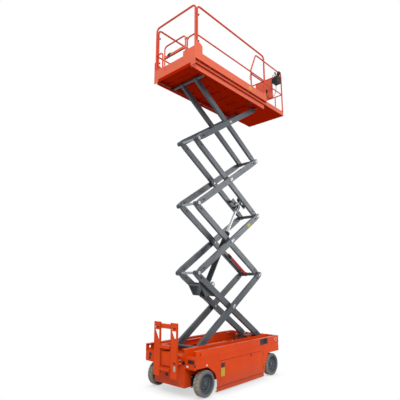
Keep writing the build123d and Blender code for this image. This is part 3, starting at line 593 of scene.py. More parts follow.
# Swing-out trays: the same coat as the skirts, with a paddle latch in a black bezel, a cam lock, a
# pressed bead round the door and loose-pin hinges. The pothole guards below are bolted on.
paint(chassis_coat, "right_tray", "left_tray", "right_pothole_guard", "left_pothole_guard")
door_low, door_high, door_width = 0.112, 0.466, 1.196
hinge_x, hinge_y = middle_x + 0.622, 0.570
hinge_heights = (0.190, 0.410)
knuckle_half = 0.031
latch_x, lock_x = -0.846, -0.064
for hand, sign in hands:
    body = f"{hand}_tray"
    out = (0, sign, 0)
    face_y = sign * side_y
    bead = bmesh.new()
    centre = Vector((middle_x, face_y - sign * 0.001, (door_low + door_high) / 2))
    frame_line = rounded_outline(door_width - 0.060, door_high - door_low - 0.060, 0.020)
    pipe(bead, [centre + Vector((a, 0, b)) for a, b in frame_line], 0.0028, 8, closed=True)
    barrel = [(0.0085, -knuckle_half), (0.0085, knuckle_half)]
    for z in hinge_heights:
        turned(bead, barrel, (hinge_x, sign * hinge_y, z), up, 16)
    finish_piece(f"{hand}_door_bead", bead, body, chassis_coat)

    latch = bmesh.new()
    block(latch, (latch_x, face_y + sign * 0.0015, 0.401), (0.086, 0.006, 0.062), edge=0.003)
    block(latch, (latch_x, face_y + sign * 0.0045, 0.396), (0.058, 0.006, 0.040), edge=0.003)
    turned(latch, domed(0.0180, 0.003, 0.013, 0.005), (lock_x, face_y, 0.440), out, 24)
    block(latch, (lock_x, face_y + sign * 0.005, 0.440), (0.003, 0.002, 0.012), edge=0.0004)
    finish_piece(f"{hand}_door_latch", latch, body, black_nylon)

    pins = bmesh.new()
    rivet = [(0.0060, 0.0), (0.0060, 0.004), (0.003, 0.006)]
    for z in hinge_heights:
        for end in (-1, 1):
            spot = (hinge_x, sign * hinge_y, z + end * knuckle_half)
            turned(pins, rivet, spot, (0, 0, end), 14)
    finish_piece(f"{hand}_hinge_pins", pins, body, zinc)

    heads = bmesh.new()
    for x in (-0.60, -0.20, 0.20, 0.60):
        bolt(heads, (middle_x + x, sign * 0.558, 0.060), out, 0.006)
    finish_piece(f"{hand}_guard_bolts", heads, f"{hand}_guard", chassis_coat)

label = bmesh.new()
film(label, (0.096, 0.124, 0.005), (-0.853, -side_y - 0.0006, 0.297), (1, 0, 0))
finish_piece("door_label", label, "right_tray", yellow_vinyl)


# Battery pack: four moulded polypropylene cases, each with three vent caps and two lead posts, and
# short black rubber cables between them.
battery_case = moulded_plastic("moulded_polypropylene_grey", "#3A3D40", "#303336", 0.42)
paint(battery_case, "battery_pack")
pack_y = 0.444
post_y = pack_y + 0.050
lid_z = 0.444
post_reach = 0.095
case_pitch = 0.266
lead_posts = bmesh.new()
caps = bmesh.new()
straps = bmesh.new()
for k in range(4):
    x = middle_x + case_pitch * (k - 1.5)
    block(caps, (x, pack_y, lid_z + 0.003), (0.236, 0.146, 0.008), edge=0.003)
    for j in (-1, 0, 1):
        spot = (x + 0.060 * j, pack_y, lid_z + 0.007)
        turned(caps, domed(0.015, 0.010, 0.012, 0.013), spot, up, 12)
    for j in (-1, 1):
        post = [(0.009, 0.0), (0.008, 0.020), (0.0, 0.020)]
        turned(lead_posts, post, (x + post_reach * j, post_y, lid_z), up, 16)
    if k < 3:
        start, gap = x + post_reach, case_pitch - 2 * post_reach
        arch = [(gap * t / 8, 0.018 + 0.020 * sin(pi * t / 8)) for t in range(9)]
        pipe(straps, [(start + a, post_y, lid_z + b) for a, b in arch], 0.007, 10)
finish_piece("battery_caps", caps, "left_tray", black_nylon)
finish_piece("battery_posts", lead_posts, "left_tray", zinc)
finish_piece("battery_straps", straps, "left_tray", rubber_black)


# Hydraulic power unit: a wet-painted steel tank with a filler cap and a filter, and a pump motor
# with cooling ribs and a terminal box.
black_coat = powder_coat(
    "wet_painted_steel_black", "#26282A", "#1F2122", "#453F39", 0.42
)
knuckles = ("right_steering_knuckle", "left_steering_knuckle")
paint(black_coat, "power_unit", "rear_axle", "front_axle", *knuckles)
unit_y = -0.444
tank_top = 0.424
filler = [
    (0.024, 0.0), (0.024, 0.012), (0.030, 0.014), (0.030, 0.030), (0.026, 0.033), (0.0, 0.033),
]  # fmt: skip
unit = bmesh.new()
turned(unit, filler, (-0.720, unit_y, tank_top), up, 24)
turned(unit, domed(0.030, 0.026, 0.026, 0.032), (-0.380, unit_y, tank_top), up, 24)
block(unit, (-0.115, unit_y, 0.340), (0.120, 0.080, 0.040), edge=0.005)
rib = [(0.0700, -0.002), (0.0735, -0.001), (0.0735, 0.001), (0.0700, 0.002), (0.0700, -0.002)]
for k in range(9):
    turned(unit, rib, (-0.230 + 0.030 * k, unit_y, 0.259), (1, 0, 0), 36)
finish_piece("power_unit_fittings", unit, "right_tray", black_nylon)


# Axles and knuckles: black painted castings, with plated bolts, kingpin caps and hydraulic unions
# on the wheel motors.
def around(centre, radius, count, start=0.0, tall=1.0):
    """Points round a centre, in the upright plane along the machine."""
    turns = [start + 2 * pi * k / count for k in range(count)]
    return [Vector(centre) + Vector((radius * cos(t), 0, tall * radius * sin(t))) for t in turns]


front_axle_x, rear_axle_x = 0.610, -1.240
wheel_z = 0.1905
bolts = bmesh.new()
for sign in (-1, 1):
    out = (0, sign, 0)
    for x in (-0.080, 0.080):
        for z in (-0.070, 0.070):
            bolt(bolts, (rear_axle_x + x, sign * 0.348, 0.2005 + z), out, 0.012)
    for x in (-0.090, 0.090):
        for z in (0.110, 0.270):
            bolt(bolts, (front_axle_x + x, sign * 0.241, z), out, 0.011)
    kingpin = (front_axle_x, sign * 0.420, 0.326)
    turned(bolts, domed(0.021, 0.003, 0.015, 0.004), kingpin, up, 24)
finish_piece("axle_bolts", bolts, "chassis", zinc)
for hand, sign in hands:
    fittings = bmesh.new()
    for spot in around((front_axle_x, sign * 0.440, wheel_z), 0.050, 6):
        bolt(fittings, spot, (0, -sign, 0), 0.006)
    union = [(0.011, 0.0), (0.011, 0.018), (0.008, 0.020)]
    for x in (-0.030, 0.030):
        turned(fittings, union, (front_axle_x + x, sign * 0.460, 0.243), up, 6)
    finish_piece(f"{hand}_knuckle_fittings", fittings, f"{hand}_knuckle", zinc)


# Wheels: moulded solid rubber with block tread pressed on painted steel rims, and a hub cap with
# five nuts. The rubber is grey and non-marking, scuffed beige where it runs.
rim_coat = powder_coat(
    "powder_coated_rim_grey", "#5B6168", "#4D5359", "#5E564C", 0.42
)
tyre_rubber, tree, shader = new_material("moulded_rubber_grey")
place = add(tree, "TexCoord", out="Object")
sideways = add(tree, "SeparateXYZ", add(tree, "TexCoord", out="Normal"), out="Y")
sideways = add(tree, "Math", sideways, operation="ABSOLUTE")
scuff = add(tree, "TexNoise", place, Scale=scale_of(30), Detail=8.0, Roughness=0.7)
scuff = add(tree, "MapRange", scuff, 0.35, 0.65)
running = add(tree, "Mix", scuff, n6=linear("#7E786B"), n7=linear("#9B9484"), **two_colours)
wall = add(tree, "Mix", scuff, n6=linear("#54585B"), n7=linear("#64686A"), **two_colours)
sideways = add(tree, "MapRange", sideways, 0.45, 0.80)
rough_skin = add(tree, "TexNoise", place, Scale=scale_of(5), Detail=3.0)
wire(
    shader,
    Base_Color=add(tree, "Mix", sideways, n6=running, n7=wall, **two_colours),
    Roughness=0.78,
    Normal=add(tree, "Bump", Strength=0.3, Distance=0.001, Height=rough_skin),
)

wheel_y = 0.5215
lug_count = 22
lug_lean = 3.2
lug_section = [
    (0.004, 0.178), (0.004, 0.1905), (0.046, 0.1903), (0.0600, 0.1800), (0.0632, 0.168),
    (0.050, 0.165),
]  # fmt: skip
carcass = [
    (0.148, -0.0575), (0.158, -0.0625), (0.172, -0.0610), (0.1820, -0.0500), (0.1825, 0.0),
    (0.1820, 0.0500), (0.172, 0.0610), (0.158, 0.0625), (0.148, 0.0575), (0.148, -0.0575),
]  # fmt: skip
dome = [(0.0340, 0.009), (0.0340, 0.026), (0.0310, 0.031), (0.0200, 0.034), (0.0, 0.035)]
lip = [
    (0.1385, 0.050), (0.1405, 0.0560), (0.1440, 0.0590), (0.1475, 0.0575), (0.1480, 0.050),
    (0.1385, 0.050),
]  # fmt: skip
for end, x in (("front", front_axle_x), ("rear", rear_axle_x)):
    for hand, sign in hands:
        name = f"{end}_{hand}"
        body = f"{name}_wheel"
        out = (0, sign, 0)
        centre = Vector((x, sign * wheel_y, wheel_z))
        paint(rim_coat, f"{name}_rim")
        tyre = bmesh.new()
        turned(tyre, carcass, centre, out, 72)
        for row in (-1, 1):
            for k in range(lug_count):
                start = 2 * pi * (k + 0.25 * row) / lug_count
                faces = []
                for edge in (-0.35, 0.35):
                    ring = []
                    for across, radius in lug_section:
                        turn = start + (edge + lug_lean * across) * 2 * pi / lug_count
                        spot = Vector((radius * cos(turn), row * across, radius * sin(turn)))
                        ring.append(tyre.verts.new(centre + spot))
                    faces.append(ring)
                low, high = faces
                tyre.faces.new(low)
                tyre.faces.new(high[::-1])
                for i in range(len(low)):
                    j = (i + 1) % len(low)
                    tyre.faces.new((low[i], high[i], high[j], low[j]))
        made = finish_piece(f"{name}_treaded_tyre", tyre, body, tyre_rubber, smooth=30)
        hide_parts(f"{name}_tyre")

        cap = bmesh.new()
        turned(cap, dome, centre, out, 40)
        turned(cap, lip, centre, out, 72)
        finish_piece(f"{name}_hub_cap", cap, body, rim_coat)
        nuts = bmesh.new()
        for spot in around(centre + Vector((0, sign * 0.010, 0)), 0.054, 5):
            bolt(nuts, spot, out, 0.009)
        finish_piece(f"{name}_wheel_nuts", nuts, body, rim_coat)


# Scissor arms: cold-drawn rectangular tube with welded bosses, powder coated dark grey. Each boss
# has a weld bead round it, and each arm a rimmed slot near both ends and tacks on its seams.
arm_coat = powder_coat(
    "powder_coated_arm_grey", "#434A52", "#343A41", "#55504A", 0.30, sheen=0.5
)
stages = range(1, 5)
paint(arm_coat, *[f"{row}_arms_{k}" for row in ("inner", "outer") for k in stages])
arm_length = 2.215
lean = radians(33.0)
pivot_x = 0.785
slider_x = pivot_x - arm_length * cos(lean)
base_z = 0.636
rise = arm_length * sin(lean)
centre_x = (pivot_x + slider_x) / 2
slot_rim = [
    (-1, -1), (1, -1), (1.25, -0.7), (1.36, 0), (1.25, 0.7), (1, 1), (-1, 1), (-1.25, 0.7),
    (-1.36, 0), (-1.25, -0.7),
]  # fmt: skip


def ring_bead(mesh, centre, axis, radius, bead):
    """A weld bead round a boss."""
    spin = Vector(axis).to_track_quat("Z", "Y").to_matrix()
    points = []
    for k in range(40):
        turn = 2 * pi * k / 40
        reach = radius + (0.0006 if k % 2 else 0.0)
        points.append(Vector(centre) + spin @ Vector((reach * cos(turn), reach * sin(turn), 0)))
    pipe(mesh, points, bead, 8, closed=True)


for stage in stages:
    low_z = base_z + (stage - 1) * rise
    for row, face_y, start, heading in (
        ("inner", 0.205, pivot_x, -1),
        ("outer", 0.265, slider_x, 1),
    ):
        run = Vector((heading * cos(lean), 0, sin(lean)))
        across = Vector((-heading * sin(lean), 0, cos(lean)))
        beads = bmesh.new()
        for sign in (-1, 1):
            for place in (0.0, arm_length / 2, arm_length):
                for y in (sign * face_y, sign * (face_y - 0.050)):
                    ring_bead(beads, Vector((start, y, low_z)) + run * place, (0, 1, 0), 0.0385, 0.0018)
            for place in (0.150, arm_length - 0.150):
                spot = Vector((start, sign * (face_y + 0.0003), low_z)) + run * place
                line = [spot + run * (0.022 * a) + across * (0.0085 * b) for a, b in slot_rim]
                pipe(beads, line, 0.0011, 6, closed=True)
            for place in (0.30, 0.55, arm_length - 0.55, arm_length - 0.30):
                for edge in (-0.054, 0.054):
                    offset = run * place + across * edge
                    tack = [
                        Vector((start, sign * (face_y - 0.025 + 0.004 * k), low_z)) + offset
                        for k in (-3, -1, 1, 3)
                    ]
                    pipe(beads, tack, 0.0022, 6)
        finish_piece(f"{row}_arm_welds_{stage}", beads, f"{row}_{stage}", arm_coat)


# Pins: ground steel, each held by a keeper plate and two screws, with a grease nipple in its end
# and a bronze thrust washer between the arms.
ground_steel = plated_steel("ground_pin_steel", "#A9ABAD", "#7F8285", 0.30)
paint(ground_steel, "base_rollers", "top_rollers", *[f"outer_pins_{k}" for k in stages])
paint(ground_steel, *[f"inner_pins_{k}" for k in (1, 2, 3)])
bronze = plated_steel("turned_bronze", "#A9895A", "#8A6E46", 0.42)
pin_face = 0.2715


def nipple(radius):
    """The outline of a grease nipple in a screw of that radius."""
    return [(radius, 0.0), (radius, 0.003), (0.0030, 0.004), (0.0030, 0.008), (0.0015, 0.009)]


def pin_end(mesh, x, z, sign, turn):
    """A keeper plate beside a pin head, with two screws and a nipple in the pin."""
    place = Vector((x, sign * pin_face, z))
    spin = Matrix.Rotation(turn, 3, "Y")
    offset = spin @ Vector((0.048, 0, 0))
    half = Vector((0, sign * 0.0025, 0))
    block(mesh, place + offset - half, (0.036, 0.005, 0.046), spin, 0.0015)
    for k in (-1, 1):
        bolt(mesh, place + offset + spin @ Vector((0.004, 0, 0.012 * k)), (0, sign, 0), 0.0055)
    turned(mesh, nipple(0.0055), place + half, (0, sign, 0), 8)


washer = [(0.0215, -0.0018), (0.034, -0.0018), (0.034, 0.0018), (0.0215, 0.0018), (0.0215, -0.0018)]
for stage in stages:
    low_z = base_z + (stage - 1) * rise
    top_pin = low_z + rise
    keepers = bmesh.new()
    washers = bmesh.new()
    for sign in (-1, 1):
        pin_end(keepers, centre_x, low_z + rise / 2, sign, -lean)
        if stage < 4:
            pin_end(keepers, pivot_x, top_pin, sign, pi - lean)
        turned(washers, washer, (centre_x, sign * 0.210, low_z + rise / 2), (0, 1, 0), 28)
        turned(washers, washer, (pivot_x, sign * 0.210, top_pin), (0, 1, 0), 28)
    finish_piece(f"outer_pin_keepers_{stage}", keepers, f"outer_{stage}", zinc)
    finish_piece(f"outer_thrust_washers_{stage}", washers, f"outer_{stage}", bronze)
    if stage < 4:
        screws = bmesh.new()
        for sign in (-1, 1):
            spot = (slider_x, sign * 0.274, top_pin)
            turned(screws, nipple(0.0080), spot, (0, sign, 0), 10)
            for screw in around(spot, 0.019, 3, 0.4):
                bolt(screws, screw, (0, sign, 0), 0.005)
        finish_piece(f"inner_pin_screws_{stage}", screws, f"inner_{stage}", zinc)


# Label on the near second outer arm: blank yellow cast vinyl with rounded corners, stuck flat on
# the tube's side in line with it.
run = Vector((cos(lean), 0, sin(lean)))
across = Vector((-sin(lean), 0, cos(lean)))
spot = Vector((slider_x, -0.2656, base_z + rise)) + run * 1.78
label = bmesh.new()
film(label, (0.110, 0.060, 0.004), spot, run, across)
finish_piece("arm_label", label, "outer_2", yellow_vinyl)


# Lift cylinder: a honed tube painted black with a screwed gland, and a zinc-plated holding valve,
# ports and pipe. The rod is hard chrome plated and polished, with a rubber wiper at the gland.
paint(black_coat, "lift_cylinder_barrel")
chrome, tree, shader = new_material("hard_chrome_polished")
place = add(tree, "TexCoord", out="Object")
clouds = add(tree, "TexNoise", place, Scale=scale_of(60), Detail=4.0)
clouds = add(tree, "MapRange", clouds, 0.3, 0.7)
smears = add(tree, "TexNoise", place, Scale=scale_of(12), Detail=6.0)
wire(
    shader,
    Base_Color=add(tree, "Mix", clouds, n6=linear("#C4C7CA"), n7=linear("#E2E4E5"), **two_colours),
    Metallic=1.0,
    Roughness=add(tree, "MapRange", smears, 0.3, 0.8, 0.10, 0.26),
)
paint(chrome, "lift_cylinder_rod")

trunnion = Vector((-0.58045, 0, 1.64555))
eye = Vector((0.44093, 0, 3.29008))
thrust = (eye - trunnion).normalized()
upward = Vector((-thrust.z, 0, thrust.x))
sideways = Vector((0, 1, 0))
tilt = Matrix((sideways, upward, thrust)).transposed()
gland_end = trunnion + thrust * 1.170
gland_ring = [
    (0.0570, -0.050), (0.0585, -0.046), (0.0585, -0.012), (0.0560, -0.006), (0.0560, 0.004),
    (0.0310, 0.008), (0.0310, -0.010), (0.0570, -0.050),
]  # fmt: skip
spanner_hole = [
    (0.0065, -0.004), (0.0065, 0.0012), (0.0035, 0.0012), (0.0035, -0.002), (0.0, -0.002),
]  # fmt: skip
gland = bmesh.new()
turned(gland, gland_ring, gland_end, thrust, 48)
for k in range(4):
    turn = pi * k / 2 + 0.4
    radial = sideways * cos(turn) + upward * sin(turn)
    turned(gland, spanner_hole, gland_end + 0.0585 * radial - thrust * 0.028, radial, 12)
finish_piece("cylinder_gland", gland, "barrel", black_coat)
wiper_ring = [(0.0288, 0.006), (0.0380, 0.008), (0.0350, 0.014), (0.0288, 0.013), (0.0288, 0.006)]
wiper = bmesh.new()
turned(wiper, wiper_ring, gland_end, thrust, 40)
finish_piece("rod_wiper", wiper, "barrel", rubber_black)
foot = bmesh.new()
for along in (-0.240, 1.090):
    ring_bead(foot, trunnion + thrust * along, thrust, 0.0500, 0.0030)
for sign in (-1, 1):
    ring_bead(foot, trunnion + sideways * sign * 0.0495, (0, 1, 0), 0.0260, 0.0030)
turned(foot, [(0.0500, -0.246), (0.0470, -0.252), (0.0, -0.252)], trunnion, thrust, 40)
block(foot, trunnion - thrust * 0.120 - upward * 0.060, (0.060, 0.030, 0.100), tilt, 0.005)
finish_piece("cylinder_foot", foot, "barrel", black_coat)
valve = bmesh.new()
below = upward * 0.075
turned(valve, domed(0.016, 0.045, 0.012, 0.052), trunnion - thrust * 0.150 - below, -upward, 20)
for along, drop, long in ((-0.095, 0.075, 0.030), (1.060, 0.048, 0.024)):
    port = [(0.013, 0.0), (0.013, long), (0.010, long + 0.002)]
    turned(valve, port, trunnion + thrust * along - upward * drop, -upward, 6)
finish_piece("cylinder_valve", valve, "barrel", zinc)
pipe_run = bmesh.new()
line = [trunnion + thrust * a - upward * 0.068 for a in (-0.070, 0.2, 0.5, 0.8, 1.040)]
pipe(pipe_run, line + [trunnion + thrust * 1.058 - upward * 0.064], 0.0055, 12)
for along in (0.15, 0.60, 0.95):
    clip = trunnion + thrust * along - upward * 0.060
    block(pipe_run, clip, (0.030, 0.022, 0.014), tilt, 0.002)
finish_piece("cylinder_pipe", pipe_run, "barrel", zinc)
eye_trim = bmesh.new()
ring = [(0.0250, 0.0), (0.0400, 0.0), (0.0400, 0.003), (0.0250, 0.003), (0.0250, 0.0)]
for sign in (-1, 1):
    turned(eye_trim, ring, eye + sideways * sign * 0.0525, (0, sign, 0), 32)
ring_bead(eye_trim, eye - thrust * 0.0420, thrust, 0.0285, 0.0035)
greaser = [(0.0060, 0.0), (0.0060, 0.004), (0.0030, 0.005), (0.0030, 0.010), (0.0015, 0.011)]
turned(eye_trim, greaser, eye + upward * 0.0415, upward, 10)
finish_piece("rod_eye_trim", eye_trim, "rod", zinc)


# Trunnion caps on the lowest inner arms, and pin caps on the ears of the third: plated discs, each
# held by three screws.
for name, centre, face_y, radius, body in (
    ("trunnion_caps", trunnion, 0.151, 0.036, "inner_1"),
    ("eye_pin_caps", eye, 0.075, 0.034, "inner_3"),
):
    disc = [(radius, -0.001), (radius, 0.004), (radius - 0.003, 0.006), (0.0, 0.006)]
    caps = bmesh.new()
    for sign in (-1, 1):
        spot = Vector((centre.x, sign * face_y, centre.z))
        turned(caps, disc, spot, (0, sign, 0), 32)
        for place in around(spot + Vector((0, sign * 0.006, 0)), 0.024, 3):
            bolt(caps, place, (0, sign, 0), 0.005)
    finish_piece(name, caps, body, zinc)


# Safety prop: flat steel bar powder coated red, with a pressed rib on each side, a weld bead round
# its boss and a ribbed rubber grip sleeve.
red_coat = powder_coat(
    "powder_coated_prop_red", "#C8201A", "#B81812", "#6A2A20", 0.36
)
paint(red_coat, "safety_prop")
run = Vector((-cos(lean), 0, sin(lean)))
hang = Vector((pivot_x, 0.105, base_z + rise))
spin = Matrix.Rotation(lean, 3, "Y")
prop = bmesh.new()
for sign in (-1, 1):
    rib_place = hang + run * 0.330 + Vector((0, sign * 0.0145, 0))
    block(prop, rib_place, (0.420, 0.004, 0.018), spin, 0.0018)
ring_bead(prop, hang + Vector((0, 0.0135, 0)), (0, 1, 0), 0.0385, 0.0025)
finish_piece("prop_ribs", prop, "prop", red_coat)
grip = bmesh.new()
block(grip, hang + run * 0.640, (0.110, 0.033, 0.050), spin, 0.006)
for k in range(5):
    block(grip, hang + run * (0.600 + 0.020 * k), (0.006, 0.037, 0.054), spin, 0.002)
finish_piece("prop_grip", grip, "prop", rubber_black)


# Platform: welded sheet and tube, powder coated the chassis orange, drawn lighter as painted haze
# light, its tubes redder. The floor is tear plate, whose raised diamonds are pressed in rows 38 mm
# apart. The underside is painted a deep shade colour.
top_z = base_z + 4 * rise
deck_floor = top_z + 0.061
# Painted light: the platform's orange is lighter than the chassis coat, standing for haze and
# backlight.
platform_coat = powder_coat(
    "powder_coated_steel_platform",
    "#D7664B",
    "#CF5E44",
    "#A84428",
    # Painted shade: a dark red for the deck's underside and the inside of its toe boards.
    underside_shade="#A51E04",
    shade_below_z=top_z + 0.056,
)
rail_coat = powder_coat(
    "powder_coated_tube_red_orange", "#D24A34", "#CA422D", "#983826"
)
paint(platform_coat, "platform_deck", "extension_deck", "entry_gate")
paint(rail_coat, "right_guard_rail", "left_guard_rail", "rear_guard_rail", "extension_rails")
tread_pitch = 0.038


def tear_plate(mesh, x_low, x_high, reach, height):
    """Rows of raised lozenges that point to the left and right by turns."""
    rows = int((x_high - x_low) / tread_pitch)
    columns = int(2 * reach / tread_pitch)
    spare = 2 * reach / tread_pitch - columns
    crest = Vector((0, 0, 0.0016))
    for row in range(rows):
        for column in range(columns):
            x = x_low + (row + 0.5) * tread_pitch
            y = -reach + (column + 0.5 * spare + 0.5) * tread_pitch
            turn = radians(45 if (row + column) % 2 else -45)
            along = Vector((cos(turn), sin(turn), 0)) * 0.014
            aside = Vector((-sin(turn), cos(turn), 0)) * 0.0035
            middle = Vector((x, y, height))
            low = [middle + along, middle + aside, middle - along, middle - aside]
            high = [middle + along / 2 + crest, middle - along / 2 + crest]
            tent = [mesh.verts.new(p) for p in low + high]
            for a, b, c in ((0, 1, 4), (1, 2, 5), (1, 5, 4), (2, 3, 5), (3, 0, 4), (3, 4, 5)):
                mesh.faces.new((tent[a], tent[b], tent[c]))
            mesh.faces.new(tent[3::-1])


for name, body, x_low, x_high, reach, height in (
    ("deck_tread", "platform", -1.455, 0.200, 0.480, deck_floor),
    ("extension_tread", "extension", 0.215, 1.625, 0.440, top_z + 0.074),
):
    tread = bmesh.new()
    tear_plate(tread, x_low, x_high, reach, height)
    finish_piece(name, tread, body, platform_coat, smooth=20)


# Rail feet and joints: weld beads where tubes meet, socket collars on the toe board with a locking
# pin each, black moulded knobs on the rear corner posts, and plated rings for lanyards.
step_top = top_z + 0.109
toe_top = top_z + 0.262
rail_y = 0.527
post_places = (-1.413, 0.795)
mid_rail = top_z + 0.605
upper_rail = deck_floor + 1.147
socket = [
    (0.0185, 0.0), (0.0240, 0.0), (0.0240, 0.050), (0.0225, 0.054), (0.0185, 0.054), (0.0185, 0.0),
]  # fmt: skip
plunger = [(0.0065, 0.0), (0.0065, 0.004), (0.0040, 0.005), (0.0040, 0.016), (0.0, 0.016)]
knob = [
    (0.010, 0.0), (0.010, 0.006), (0.018, 0.008), (0.019, 0.018), (0.014, 0.022), (0.0, 0.022),
]  # fmt: skip
for hand, sign in hands:
    collars = bmesh.new()
    for x in post_places:
        y = sign * rail_y
        turned(collars, socket, (x, y, toe_top + 0.001), up, 28)
        ring_bead(collars, (x, y, toe_top + 0.002), up, 0.0240, 0.0025)
        ring_bead(collars, (x, y, mid_rail), (1, 0, 0), 0.0150, 0.0022)
    finish_piece(f"{hand}_rail_sockets", collars, "platform", platform_coat)
    pins = bmesh.new()
    for x in post_places:
        spot = Vector((x, sign * (rail_y - 0.0235), toe_top + 0.028))
        turned(pins, plunger, spot, (0, -sign, 0), 12)
        loop = around(spot + Vector((0, -sign * 0.014, -0.014)), 0.014, 20)
        pipe(pins, loop, 0.0015, 6, closed=True)
    finish_piece(f"{hand}_rail_pins", pins, "platform", zinc)
    knobs = bmesh.new()
    for height in (0.475, 1.020):
        spot = (post_places[0] + 0.015, sign * rail_y - 0.008, top_z + height)
        turned(knobs, knob, spot, (1, -0.6, 0), 18)
    finish_piece(f"{hand}_post_knobs", knobs, "platform", black_nylon)
    rings = bmesh.new()
    for x in (-0.90, 0.30):
        spot = Vector((x, sign * 0.543, step_top + 0.050))
        pipe(rings, around(spot - Vector((0, sign * 0.007, 0)), 0.022, 24), 0.004, 8, closed=True)
        lug = spot + Vector((0, -sign * 0.004, 0.020))
        block(rings, lug, (0.030, 0.006, 0.016), edge=0.0015)
    finish_piece(f"{hand}_lanyard_rings", rings, "platform", zinc)
    stops = bmesh.new()
    for x in (-1.440, 0.790):
        block(stops, (x, sign * 0.447, top_z), (0.016, 0.030, 0.066), edge=0.003)
    finish_piece(f"{hand}_channel_stops", stops, "platform", platform_coat)


# Entry gate: strap hinges on the right post, a spring latch in a black case on its bar, and welded
# beads where its toe plate meets the tube.
gate_z = deck_floor - 0.005
gate_x = -1.459
straps = bmesh.new()
for z in (gate_z + 0.200, gate_z + 0.560):
    block(straps, (gate_x, -0.302, z), (0.020, 0.044, 0.034), edge=0.003)
    turned(straps, [(0.019, -0.022), (0.019, 0.022)], (gate_x, -0.280, z), up, 20)
finish_piece("gate_hinges", straps, "platform", platform_coat)
latch = bmesh.new()
block(latch, (gate_x, 0.150, top_z + 0.463), (0.044, 0.070, 0.060), edge=0.006)
block(latch, (gate_x, 0.130, top_z + 0.496), (0.016, 0.024, 0.020), edge=0.004)
finish_piece("gate_latch", latch, "gate", black_nylon)
beads = bmesh.new()
for y in (-0.266, 0.271):
    pipe(beads, [(-1.462, y, gate_z + 0.122 + 0.012 * k) for k in range(9)], 0.0025, 8)
finish_piece("gate_welds", beads, "gate", platform_coat)


# Under the floor: weld beads along the cross ribs, plated bolts up through the step of the toe
# board and by the top pivots, and a sealed nylon junction box behind the roller path.
beads = bmesh.new()
bead_z = top_z + 0.0545
for k in range(-3, 4):
    for side in (-0.019, 0.019):
        x = middle_x + 0.300 * k + side
        for low, high in ((-0.138, 0.138), (0.287, 0.423), (-0.423, -0.287)):
            count = int((high - low) / 0.02)
            steps = [(low + (high - low) * j / count, 0.0006 * (j % 2)) for j in range(count + 1)]
            pipe(beads, [(x, y, bead_z + ripple) for y, ripple in steps], 0.003, 6)
finish_piece("rib_welds", beads, "platform", platform_coat)
edge_bolts = bmesh.new()
for k in range(8):
    for sign in (-1, 1):
        bolt(edge_bolts, (-1.35 + 0.30 * k, sign * 0.525, top_z + 0.1045), (0, 0, -1), 0.007)
for sign in (-1, 1):
    for y, facing in ((0.194, -1), (0.286, 1)):
        bolt(edge_bolts, (pivot_x, sign * y, top_z + 0.046), (0, facing, 0), 0.001)
finish_piece("toe_bolts", edge_bolts, "platform", zinc)
box = bmesh.new()
box_z = top_z + 0.031
block(box, (0.480, -0.360, box_z), (0.110, 0.070, 0.048), edge=0.004)
seal = [(0.011, 0.0), (0.011, 0.014), (0.008, 0.016)]
turned(box, seal, (0.425, -0.360, box_z), (-1, 0, 0), 6)
finish_piece("junction_box", box, "platform", black_nylon)


# Label on the near toe board: blank yellow cast vinyl with rounded corners, stuck flat on the coat
# just above the step.
label = bmesh.new()
film(label, (0.110, 0.060, 0.004), (0.200, -0.5506, top_z + 0.190), (1, 0, 0))
finish_piece("toe_label", label, "platform", yellow_vinyl)


# Extension: plated bolts along its toe boards, weld beads at the feet of its rails, painted sheets
# over its front panel, a push handle on each side, and a black rubber loop near the front post.
front_x = 1.645
post_x = 1.621
ext_y = 0.484
ext_top = upper_rail - 0.062
trim = bmesh.new()
for y in (-0.40, -0.20, 0.0, 0.20, 0.40):
    bolt(trim, (front_x, y, deck_floor + 0.050), (1, 0, 0), 0.007)
for sign in (-1, 1):
    for x in (0.45, 0.80, 1.15, 1.50):
        bolt(trim, (x, sign * 0.488, deck_floor + 0.085), (0, sign, 0), 0.007)
finish_piece("extension_bolts", trim, "extension", zinc)
collars = bmesh.new()
for sign in (-1, 1):
    for x in (0.340, post_x):
        ring_bead(collars, (x, sign * ext_y, deck_floor + 0.114), up, 0.0155, 0.0028)
    for x in (0.355, post_x - 0.015):
        ring_bead(collars, (x, sign * ext_y, mid_rail), (1, 0, 0), 0.0140, 0.0022)
    ring_bead(collars, (post_x, sign * 0.300, mid_rail - 0.012), up, 0.0130, 0.0020)
finish_piece("extension_rail_welds", collars, "extension", platform_coat)
skin = bmesh.new()
skin_outline = rounded_outline(0.486, ext_top - mid_rail - 0.034, 0.006)
for side in (-1, 1):
    middle = (post_x + side * 0.0034, 0, (ext_top + mid_rail) / 2)
    plate(skin, skin_outline, middle, (0, -side, 0), up, 0.0012)
finish_piece("front_panel_faces", skin, "extension", platform_coat)
handle = bmesh.new()
for sign in (-1, 1):
    bow = [(0.338 - 0.050 * sin(pi * k / 12), 0.500 - 0.065 * cos(pi * k / 12)) for k in range(13)]
    pipe(handle, [(x, sign * ext_y, top_z + z) for x, z in bow], 0.0065, 10)
finish_piece("push_handles", handle, "extension", platform_coat)
loop = bmesh.new()
loop_line = around((1.340, ext_y, ext_top - 0.052), 0.030, 24, tall=7 / 3)
pipe(loop, loop_line, 0.0055, 10, closed=True)
finish_piece("rubber_loop", loop, "extension", rubber_black)


